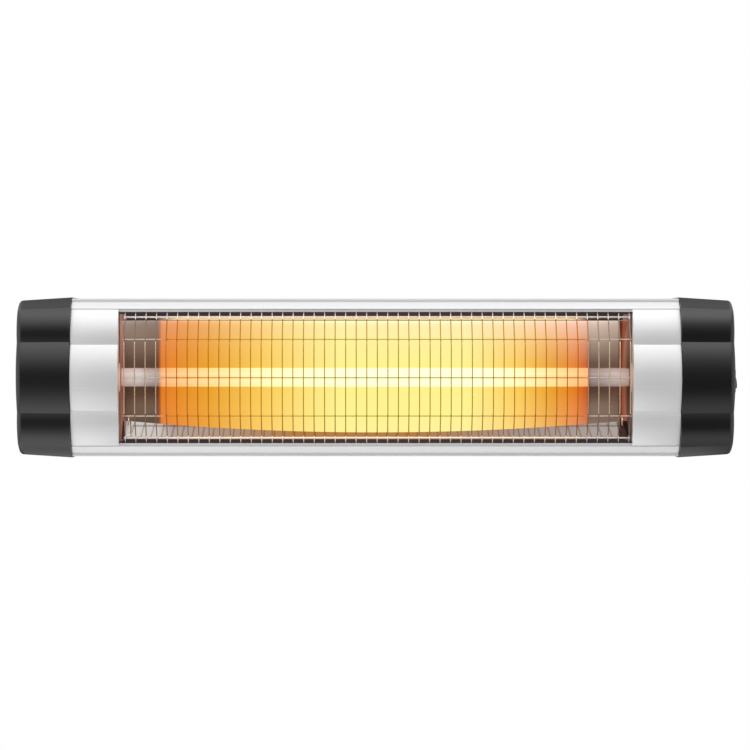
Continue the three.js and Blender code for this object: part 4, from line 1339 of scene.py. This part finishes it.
@dataclass
class Lamp:
    """The quartz tube and its ceramic ends."""

    wall: float = 1.2
    end_round: float = 4.0
    rim: float = 0.5
    shoulder_share: float = 0.3
    shoulder_drop: float = 0.4
    spigot_gap: float = 0.3
    spigot_length: float = 7.0
    ceramic_round: float = 0.6

    def build(self) -> None:
        """Make the tube and both ceramic ends."""
        low, high = box_mm("quartz_tube")
        centre = centre_mm("quartz_tube", Along.X)
        radius = (high.z - low.z) / 2
        inner = radius - self.wall
        end = ((0.0, inner), (0.0, inner + self.rim),
               (self.end_round * self.shoulder_share, radius - self.shoulder_drop), (self.end_round, radius))
        profile = [(low.x + way, reach) for way, reach in end]
        profile += [(high.x - way, reach) for way, reach in reversed(end)]
        tube = turned("quartz_glass_tube", Along.X, centre, [*profile, (low.x, inner)], steps=64)
        smooth(tube, angle=40)
        dress(tube, Body.HEATER, "quartz", QUARTZ, replaces=("quartz_tube",))
        for side in Side:
            self.ceramic_end(side, centre, inner - self.spigot_gap)

    def ceramic_end(self, side: Side, centre: Pair, spigot: float) -> None:
        """Turn a ceramic end: a disc with a spigot in the tube.

        Args:
            side: the lamp's end.
            centre: the lamp's axis as (y, z).
            spigot: the spigot's radius.
        """
        node = f"lamp_cap_{side.word}"
        low, high = box_mm(node)
        radius = (high.z - low.z) / 2
        tip, top = span_mm("lamp_cap", side)
        shoulder = tip + self.spigot_length * side.value
        disc = turned(f"ceramic_end_{side.word}", Along.X, centre, [
            (tip, 0.0), (tip, spigot), (shoulder, spigot), (shoulder, radius), (top, radius), (top, 0.0)],
            steps=48)
        bevel(disc, self.ceramic_round, segments=3, angle=50)
        smooth(disc)
        dress(disc, Body.HEATER, "ceramic", CERAMIC, replaces=(node,))


@dataclass
class Guard:
    """The welded wire guard: bent upright wires on three thin and two thick cross wires."""

    section: Section
    pitch: float = 10.87
    side_wires: int = 24
    wire: float = 0.55
    rail: float = 1.25
    rail_round: float = 0.25
    rail_sides: int = 16
    weld: float = 0.4
    front_depth: float = 6.2
    bend_half: float = 35.0
    hook_half: float = 66.0
    rail_half: float = 62.7
    thin_rail_half: float = 39.5
    bend_radius: float = 6.0
    bright_half: float = 59.0
    offset: float = 1.7

    def build(self) -> None:
        """Bend one upright wire, repeat it along the guard and weld the cross wires on."""
        low, high = box_mm("guard_grille")
        hook_y = high.y - self.wire
        guard = self.upright(self.offset - self.side_wires * self.pitch, high.z, hook_y)
        modify(guard, "ARRAY", count=2 * self.side_wires + 1, use_relative_offset=False,
               use_constant_offset=True, constant_offset_displace=(self.pitch * MM, 0, 0))
        slope = (hook_y - self.section.face_y - self.front_depth) / (self.hook_half - self.bend_half)
        for z in (-self.rail_half, -self.thin_rail_half, 0.0, self.thin_rail_half, self.rail_half):
            radius = self.rail if abs(z) == self.rail_half else self.wire
            centre = (self.bar_y(z, radius, slope), z)
            bar = rod("cross_wire", Along.X, low.x + self.offset, high.x + self.offset, centre, radius,
                      self.rail_sides)
            bevel(bar, self.rail_round, angle=60)
            choose(guard)
            bar.select_set(True)
            bpy.ops.object.join()
        smooth(guard, angle=50)
        add_slots(guard, 3)
        rail_y = self.bar_y(self.rail_half, self.rail, slope)
        for face in guard.data.polygons:
            face.material_index = self.finish_at(face.center / MM, rail_y)
        dress(guard, Body.HEATER, "chrome_wire", CHROME, PAINTED_HIGHLIGHT_WIRE, SHADED_WIRE, replaces=("guard_grille",))

    def bar_y(self, z: float, radius: float, slope: float) -> float:
        """Give the y of the middle of a cross wire, welded behind the upright wires at a height."""
        depth = self.front_depth + max(abs(z) - self.bend_half, 0) * slope
        return self.section.at(depth + self.wire - self.weld + radius)

    def finish_at(self, place: Vector, rail_y: float) -> int:
        """Tell which of the guard's finishes a place has.

        Args:
            place: the place in millimetres.
            rail_y: the y of the middle of the thick cross wires.

        Returns:
            0 on the wires with painted lamp light, 1 on those with the painted highlight and 2 on those with
            painted shade.
        """
        height = abs(place.z)
        on_rail = math.hypot(place.y - rail_y, height - self.rail_half) < self.rail + MERGE
        # The thick cross wires and the hooks take the painted highlight.
        if on_rail or height > self.bright_half:
            return 1
        # The sloping stretches and the backs of the front stretch take the painted shade.
        behind = place.y - self.section.at(self.front_depth) > self.wire + MERGE
        sloping = height > self.bend_half and abs(height - self.thin_rail_half) > self.wire
        return 2 if sloping or (behind and height < self.bend_half) else 0

    def upright(self, x: float, top: float, hook_y: float) -> Object:
        """Bend an upright wire and name it for the guard.

        Args:
            x: where the wire stands.
            top: the height of its hook's tip.
            hook_y: the y of its hooks.

        Returns:
            The wire.
        """
        front_y = self.section.at(self.front_depth)
        spots = [(hook_y, -top), (hook_y, -self.hook_half), (front_y, -self.bend_half),
                 (front_y, self.bend_half), (hook_y, self.hook_half), (hook_y, top)]
        return bent_wire("wire_guard", x, spots, self.wire, self.bend_radius)


@dataclass
class Switch:
    """The rocker switch in the right cap's end."""

    bezel_half: Pair = (8.0, 12.5)
    bezel_proud: float = 2.2
    bezel_gap: float = 0.3
    bezel_corner: float = 2.4
    bezel_frame: float = 1.1
    bezel_round: float = 0.9
    edge_round: float = 0.2
    box_half: Pair = (6.3, 10.5)
    box_overlap: float = 0.8
    well_half: Pair = (5.0, 9.35)
    well_floor: float = -6.6
    box_length: float = 17.0
    lever_half: float = 8.7
    lever_width: float = 9.2
    lever_crown: float = 3.7
    lever_shoulder: float = 2.75
    lever_inset: float = 0.7
    lever_side: float = 0.5
    lever_drop: float = 3.6
    lever_foot: float = 1.2
    lever_steps: int = 14
    lever_round: float = 0.45
    lever_tilt: float = 9.0
    tab_half: Pair = (2.0, 0.4)
    tab_spacing: float = 7.0

    def __post_init__(self) -> None:
        """Take the place of the switch's face and middle line from its node."""
        self.face_x = box_mm("switch_housing")[1].x - self.bezel_proud
        self.y, self.z = centre_mm("switch_housing", Along.X)

    def build(self) -> None:
        """Make the bezel with its box and the lever."""
        low, high = box_mm("switch_housing")
        top_x, back_x = high.x, self.face_x - self.box_length
        bezel = self.cuboid("switch_bezel", self.face_x + self.bezel_gap, top_x, self.bezel_half)
        with editing(bezel):
            pick(bezel, Element.EDGE, lambda e: abs(e.verts[0].co.x - e.verts[1].co.x) > MM)
            bpy.ops.mesh.bevel(offset=self.bezel_corner * MM, segments=6)
            pick(bezel, Element.FACE, lambda f: f.normal.x > 0.9)
            bpy.ops.mesh.inset(thickness=self.bezel_frame * MM, depth=0)
            pick(bezel, Element.EDGE, lambda e: all(v.co.x / MM > top_x - MERGE for v in e.verts)
                 and len(e.link_faces) == 2 and any(abs(f.normal.x) < 0.5 for f in e.link_faces))
            bpy.ops.mesh.bevel(offset=self.bezel_round * MM, segments=4)
        combine(bezel, self.cuboid("box", back_x, self.face_x + self.box_overlap, self.box_half), Use.JOIN)
        well = self.cuboid("well", self.face_x + self.well_floor, top_x + 1, self.well_half)
        combine(bezel, well, Use.CUT)
        half_y, half_z = self.tab_half
        for way in (-1, 0, 1):
            z = self.z + way * self.tab_spacing
            tab = block("tab", (low.x, self.y - half_y, z - half_z),
                        (back_x + 1, self.y + half_y, z + half_z))
            combine(bezel, tab, Use.JOIN)
        bevel(bezel, self.edge_round, angle=60)
        smooth(bezel)
        dress(bezel, Body.HEATER, "black_plastic", BLACK_ABS, replaces=("switch_housing",))
        self.lever()

    def cuboid(self, name: str, start: float, end: float, half: Pair) -> Object:
        """Add a box about the switch's middle line, from one x to another."""
        return block(name, (start, self.y - half[0], self.z - half[1]),
                     (end, self.y + half[0], self.z + half[1]))

    def lever(self) -> None:
        """Draw the lever's side view, pull it to its width and tip it to its rest."""
        half, inner = self.lever_half, self.lever_half - self.lever_inset
        radius = arc_radius(inner, self.lever_crown - self.lever_shoulder)
        x, z = self.face_x, self.z
        shoulder, side, base = x + self.lever_shoulder, x + self.lever_side, x - self.lever_drop
        line = Line("switch_lever", Along.Y, (shoulder, z + inner), self.y - self.lever_width / 2)
        line.arc(shoulder, z - inner, radius, self.lever_steps)
        for spot in ((side, z - half), (base + self.lever_foot, z - half), (base, z - half / 2),
                     (base, z + half / 2), (base + self.lever_foot, z + half), (side, z + half),
                     (shoulder, z + inner)):
            line.to(*spot)
        lever = prism(line, self.lever_width)
        bevel(lever, self.lever_round, segments=3, angle=25)
        with editing(lever):
            bpy.ops.mesh.select_all(action="SELECT")
            bpy.ops.transform.rotate(value=math.radians(self.lever_tilt), orient_axis="Y",
                                     center_override=Vector((x, self.y, z)) * MM)
        smooth(lever)
        dress(lever, Body.ROCKER, "gloss_black", GLOSS_ABS, replaces=("rocker",))


@dataclass
class Gland:
    """The cable gland on the right cap's back.

    The dome's rounds are how far before its mouth and how much inside its radius each lies.
    """

    seat_to_mouth: float = 18.3
    seat_gap: float = 0.3
    hex_length: float = 5.0
    hex_radius: float = 11.0
    hex_round: float = 0.7
    thread_radius: float = 7.7
    bore: float = 4.6
    dome_radius: float = 9.5
    dome_rounds: tuple[Pair, ...] = ((4.5, 0.0), (2.0, 1.2))
    mouth_radius: float = 6.4
    overlap: float = 0.5
    edge_round: float = 0.3

    def build(self) -> None:
        """Turn the gland's thread and dome, and add its hexagon."""
        low, high = box_mm("cable_gland")
        centre = centre_mm("cable_gland", Along.Y)
        seat = high.y - self.seat_to_mouth + self.seat_gap
        shoulder = seat + self.hex_length
        dome = [(high.y - back, self.dome_radius - less) for back, less in self.dome_rounds]
        gland = turned("cable_gland_moulding", Along.Y, centre, [
            (low.y, self.bore), (low.y, self.thread_radius), (shoulder, self.thread_radius),
            (shoulder, self.dome_radius), *dome, (high.y, self.mouth_radius), (high.y, self.bore),
            (low.y, self.bore)], steps=40)
        nut = rod("hexagon", Along.Y, seat, shoulder + self.overlap, centre, self.hex_radius, sides=6)
        bevel(nut, self.hex_round, angle=50)
        bore = rod("bore", Along.Y, seat - 1, shoulder + 2, centre, self.thread_radius - self.overlap)
        combine(nut, bore, Use.CUT)
        combine(gland, nut, Use.JOIN)
        bevel(gland, self.edge_round, angle=50)
        smooth(gland, angle=35)
        dress(gland, Body.HEATER, "black_nylon", BLACK_NYLON, replaces=("cable_gland",))


@dataclass
class TiltMount:
    """The wall bracket, the yoke, and the bolts, washers and star knobs between them."""

    axis: Pair = (-35.0, 0.0)
    head_height: float = 4.2
    head_radius: float = 5.6
    head_round: float = 0.5
    bolt_radius: float = 3.0
    bolt_chamfer: float = 0.6
    bore: float = 3.3
    washer_round: float = 0.2
    knob_radius: float = 14.0
    knob_round: float = 1.1
    knob_hub: float = 8.0
    knob_sides: int = 64
    hub_length: float = 4.0
    scallops: int = 5
    scallop_radius: float = 8.0
    scallop_depth: float = 2.0
    sheet_round: float = 0.5

    def build(self) -> None:
        """Make the bracket, the yoke and both clamps."""
        for node, name, body in (("wall_bracket", "bracket_plate", Body.BRACKET),
                                 ("tilt_yoke", "yoke_plate", Body.HEATER)):
            plate = frame_copy(node, name)
            bevel(plate, self.sheet_round, angle=40)
            smooth(plate, angle=35, flat=True)
            dress(plate, body, "black_steel", POWDER_COAT, replaces=(node,))
        for side in Side:
            self.bolt(side)
            self.washer(side)
            self.knob(side)
        self.yoke_screws()

    def bolt(self, side: Side) -> None:
        """Make a bolt of a bevelled hexagon head and a shank.

        Args:
            side: the bolt's side of the mount.
        """
        node = f"pivot_bolt_{side.word}"
        inner, outer = span_mm("pivot_bolt", side)
        sign = side.value
        neck = inner + sign * self.head_height
        head = rod(f"{node}_steel", Along.X, inner, neck, self.axis, self.head_radius, sides=6)
        bevel(head, self.head_round, angle=50)
        shank = turned("shank", Along.X, self.axis, [
            (neck - sign, 0.0), (neck - sign, self.bolt_radius),
            (outer - sign * self.bolt_chamfer, self.bolt_radius),
            (outer, self.bolt_radius - self.bolt_chamfer), (outer, 0.0)])
        combine(head, shank, Use.JOIN)
        smooth(head, angle=35)
        dress(head, Body.BRACKET, "zinc_steel", ZINC, replaces=(node,))

    def washer(self, side: Side) -> None:
        """Turn a washer.

        Args:
            side: the washer's side of the mount.
        """
        node = f"pivot_washer_{side.word}"
        low, high = box_mm(node)
        radius = (high.z - low.z) / 2
        washer = turned(f"{node}_nylon", Along.X, self.axis, [
            (low.x, self.bore), (low.x, radius), (high.x, radius), (high.x, self.bore),
            (low.x, self.bore)], steps=48)
        bevel(washer, self.washer_round, angle=50)
        smooth(washer)
        dress(washer, Body.BRACKET, "white_nylon", WHITE_NYLON, replaces=(node,))

    def knob(self, side: Side) -> None:
        """Make a star knob: a hub, and a round grip with scallops cut from it.

        Args:
            side: the knob's side of the mount.
        """
        inner, outer = span_mm("pivot_knob", side)
        sign = side.value
        start = inner + sign * self.hub_length
        knob = rod(f"star_knob_{side.word}", Along.X, start, outer, self.axis, self.knob_radius,
                   self.knob_sides)
        reach = self.knob_radius - self.scallop_depth + self.scallop_radius
        for i in range(self.scallops):
            angle = 2 * math.pi * (i + 0.5) / self.scallops
            centre = (self.axis[0] + reach * math.cos(angle), self.axis[1] + reach * math.sin(angle))
            scallop = rod("scallop", Along.X, start - sign, outer + sign, centre, self.scallop_radius,
                          self.knob_sides)
            combine(knob, scallop, Use.CUT)
        bevel(knob, self.knob_round, segments=4, angle=30)
        for name, near, far, radius, use in (("hub", inner, start + sign, self.knob_hub, Use.JOIN),
                                             ("bore", inner - sign, outer + sign, self.bore, Use.CUT)):
            combine(knob, rod(name, Along.X, near, far, self.axis, radius, self.knob_sides), use)
        smooth(knob, angle=35)
        body = Body.KNOB_RIGHT if side is Side.RIGHT else Body.KNOB_LEFT
        dress(knob, body, "black_plastic", BLACK_ABS, replaces=(f"pivot_knob_{side.word}",))

    def yoke_screws(self) -> None:
        """Make the yoke's two screws, turned to point at the housing."""
        low, high = box_mm("yoke_screw_upper")
        first = PanScrew(shank=2.4, head=4.6, height=2.8, tip=low.y, top=high.y).build("yoke_screw")
        for level in Level:
            node = f"yoke_screw_{level.word}"
            x, z = centre_mm(node, Along.Y)
            dress(fresh_copy(first, f"{node}_pan_head", (x, 0, z), 90.0), Body.HEATER, "zinc_steel", ZINC,
                  replaces=(node,))
        bpy.data.objects.remove(first)


@dataclass
class KeptNodes:
    """The frame nodes that keep their own shape and only get a finish."""

    def build(self) -> None:
        """Dress every node that no piece stands for."""
        finishes = {
            ZINC: ["end_plate_left", "end_plate_right", "lamp_bracket_left", "lamp_bracket_right",
                   "reflector_stay_left", "reflector_stay_right", "earth_screw"],
            CARBON: ["filament"],
            CREAM_PLASTIC: ["terminal_block"],
            GREY_RUBBER: ["lead_grommet", "return_grommet"],
            RED_SILICONE: ["lamp_lead_left", "lamp_lead_right"],
            WHITE_SILICONE: ["switch_lead"],
            EARTH_SILICONE: ["earth_lead"],
            BLACK_NYLON: ["gland_nut"],
        }
        for finish, nodes in finishes.items():
            for node in nodes:
                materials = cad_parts[node].data.materials
                materials.clear()
                materials.append(finish.build())
                LOG.info("%s keeps its shape in %s", node, finish.name)


# ---------- Studio ----------
@dataclass
class Studio:
    """A pale floor, soft light from above and below, and the camera of the photograph.

    The bands are levels of light by the height of the way they come from, from -1 below to 1 above.
    The other pairs of ways are where one light starts and where it has taken over.
    """

    camera_place: Point = (-29.3, -1839.9, 31.2)
    aim: Point = (-27.1, -130.0, 2.6)
    shift: Pair = (0.0342, 0.0)
    clip: Pair = (0.05, 50.0)
    pixel_mm: float = 1.0375
    plane_y: float = -130.0
    image_width: float = 750.0
    sensor: float = 36.0
    floor_z: float = -1300.0
    floor_size: float = 1500.0
    floor_in_gloss: float = 0.45
    floor_paint: str = "#C8C8C8"
    floor_light: float = 0.8
    light: float = 2.4
    side_light: Pair = (0.95, 0.72)
    side_ways: Pair = (-0.4, 0.4)
    right_ways: Pair = (-0.1, 0.2)
    panel_ways: Pair = (0.4, 0.7)
    panel_heights: Pair = (0.3, 0.45)
    rear_ways: Pair = (0.0, 0.5)
    rear_bands: tuple[Pair, ...] = (
        (-1.0, 0.12), (-0.5, 0.14), (-0.1, 0.2), (0.1, 0.27), (0.3, 0.36), (0.6, 0.32), (1.0, 0.16))
    left_bands: tuple[Pair, ...] = (
        (-1.0, 0.42), (-0.72, 0.54), (-0.6, 0.5), (-0.5, 0.4), (-0.4, 0.27), (-0.3, 0.165), (-0.2, 0.095),
        (-0.1, 0.062), (0.0, 0.056), (0.1, 0.082), (0.2, 0.17), (0.3, 0.31), (0.4, 0.46), (0.5, 0.61),
        (0.6, 0.74), (0.72, 0.7), (0.85, 0.48), (1.0, 0.4))
    right_bands: tuple[Pair, ...] = (
        (-1.0, 0.22), (-0.85, 0.2), (-0.72, 0.24), (-0.6, 0.29), (-0.5, 0.25), (-0.4, 0.17),
        (-0.3, 0.07), (-0.2, 0.04), (-0.1, 0.038), (0.0, 0.048), (0.1, 0.07), (0.2, 0.125), (0.3, 0.215),
        (0.4, 0.39), (0.5, 0.64), (0.6, 0.8), (0.72, 0.74), (0.85, 0.5), (1.0, 0.4))

    def build(self) -> None:
        """Make the camera, the world's light and the floor."""
        bpy.context.scene.view_settings.view_transform = "Standard"
        self.camera()
        self.world()
        self.floor()

    def camera(self) -> None:
        """Place the camera so that a millimetre in the plane of the guard has its size in the picture."""
        data = bpy.data.cameras.new("camera")
        data.sensor_width = self.sensor
        distance = self.plane_y - self.camera_place[1]
        data.lens = distance / self.pixel_mm / self.image_width * self.sensor
        data.shift_x, data.shift_y = self.shift
        data.clip_start, data.clip_end = self.clip
        camera = bpy.data.objects.new("camera", data)
        bpy.context.scene.collection.objects.link(camera)
        camera.location = Vector(self.camera_place) * MM
        way = Vector(self.aim) - Vector(self.camera_place)
        camera.rotation_euler = way.to_track_quat("-Z", "Y").to_euler()
        bpy.context.scene.camera = camera

    def world(self) -> None:
        """Light the scene from a studio that is bright above and below and dim ahead of the heater."""
        world = bpy.data.worlds.new("studio")
        bpy.context.scene.world = world
        world.use_nodes = True
        tree = world.node_tree
        tree.nodes.clear()
        way = add(tree, "ShaderNodeTexCoord").outputs["Generated"]
        axes = add(tree, "ShaderNodeSeparateXYZ", links={0: way}).outputs
        left, right, rear = (colours_along(tree, axes[2], bands)
                             for bands in (self.left_bands, self.right_bands, self.rear_bands))
        panel = colours_along(tree, axes[0], [(at, level / self.light)
                                              for at, level in zip(self.side_ways, self.side_light)])
        aside, height = (add(tree, "ShaderNodeMath", {"operation": "ABSOLUTE"}, {0: axes[i]}).outputs[0]
                         for i in (0, 2))
        to_right, to_aside, to_level, to_rear = (
            add(tree, "ShaderNodeMapRange", {"From Min": start, "From Max": end, "To Min": first,
                                             "To Max": 1.0 - first}, {"Value": value}).outputs["Result"]
            for value, (start, end), first in (
                (axes[0], self.right_ways, 0.0), (aside, self.panel_ways, 0.0),
                (height, self.panel_heights, 1.0), (axes[1], self.rear_ways, 0.0)))
        panels = add(tree, "ShaderNodeMath", {"operation": "MULTIPLY"}, {0: to_aside, 1: to_level})
        around = left
        for share, other in ((to_right, right), (panels.outputs[0], panel), (to_rear, rear)):
            around = add(tree, "ShaderNodeMix", {"data_type": "RGBA"},
                         {0: share, 6: around, 7: other}).outputs[2]
        studio = add(tree, "ShaderNodeBackground", {"Strength": self.light}, {"Color": around})
        white = add(tree, "ShaderNodeBackground", {"Strength": 1.0, "Color": shade_of(1.0)})
        rays = add(tree, "ShaderNodeLightPath").outputs
        seen = add(tree, "ShaderNodeMixShader", links={0: rays["Is Camera Ray"], 1: studio.outputs[0],
                                                       2: white.outputs[0]})
        add(tree, "ShaderNodeOutputWorld", links={"Surface": seen.outputs[0]})

    def floor(self) -> None:
        """Lay the pale floor well below the heater."""
        deselect()
        bpy.ops.mesh.primitive_plane_add(size=self.floor_size * MM, location=(0, 0, self.floor_z * MM))
        floor = named("studio_floor")
        material = bpy.data.materials.new("studio_floor_paint")
        material.use_nodes = True
        tree = material.node_tree
        tree.nodes.clear()
        paint = add(tree, "ShaderNodeBsdfDiffuse", {"Color": linear(self.floor_paint)})
        bright = add(tree, "ShaderNodeEmission", {"Color": shade_of(1.0), "Strength": self.floor_light})
        both = add(tree, "ShaderNodeAddShader", links={0: paint.outputs[0], 1: bright.outputs[0]})
        rays = add(tree, "ShaderNodeLightPath").outputs
        seen = add(tree, "ShaderNodeMath", {"operation": "MULTIPLY_ADD", 1: self.floor_in_gloss},
                   {0: rays["Is Glossy Ray"], 2: rays["Is Camera Ray"]})
        mixed = add(tree, "ShaderNodeMixShader", links={0: seen.outputs[0], 1: paint.outputs[0],
                                                        2: both.outputs[0]})
        add(tree, "ShaderNodeOutputMaterial", links={"Surface": mixed.outputs[0]})
        floor.data.materials.append(material)


def main() -> None:
    """Build the studio and the heater's pieces around the frame."""
    logging.basicConfig(level=logging.INFO, format="%(name)s: %(message)s")
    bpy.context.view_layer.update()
    section = Section()
    cap_section = Section(side_radius=60.0, seam_depth=10.8)
    for part in (Studio(), Housing(section), EndCaps(cap_section), Optics(section), Lamp(), Guard(section),
                 Switch(), Gland(), TiltMount(), KeptNodes()):
        part.build()


if __name__ == "__main__":
    main()
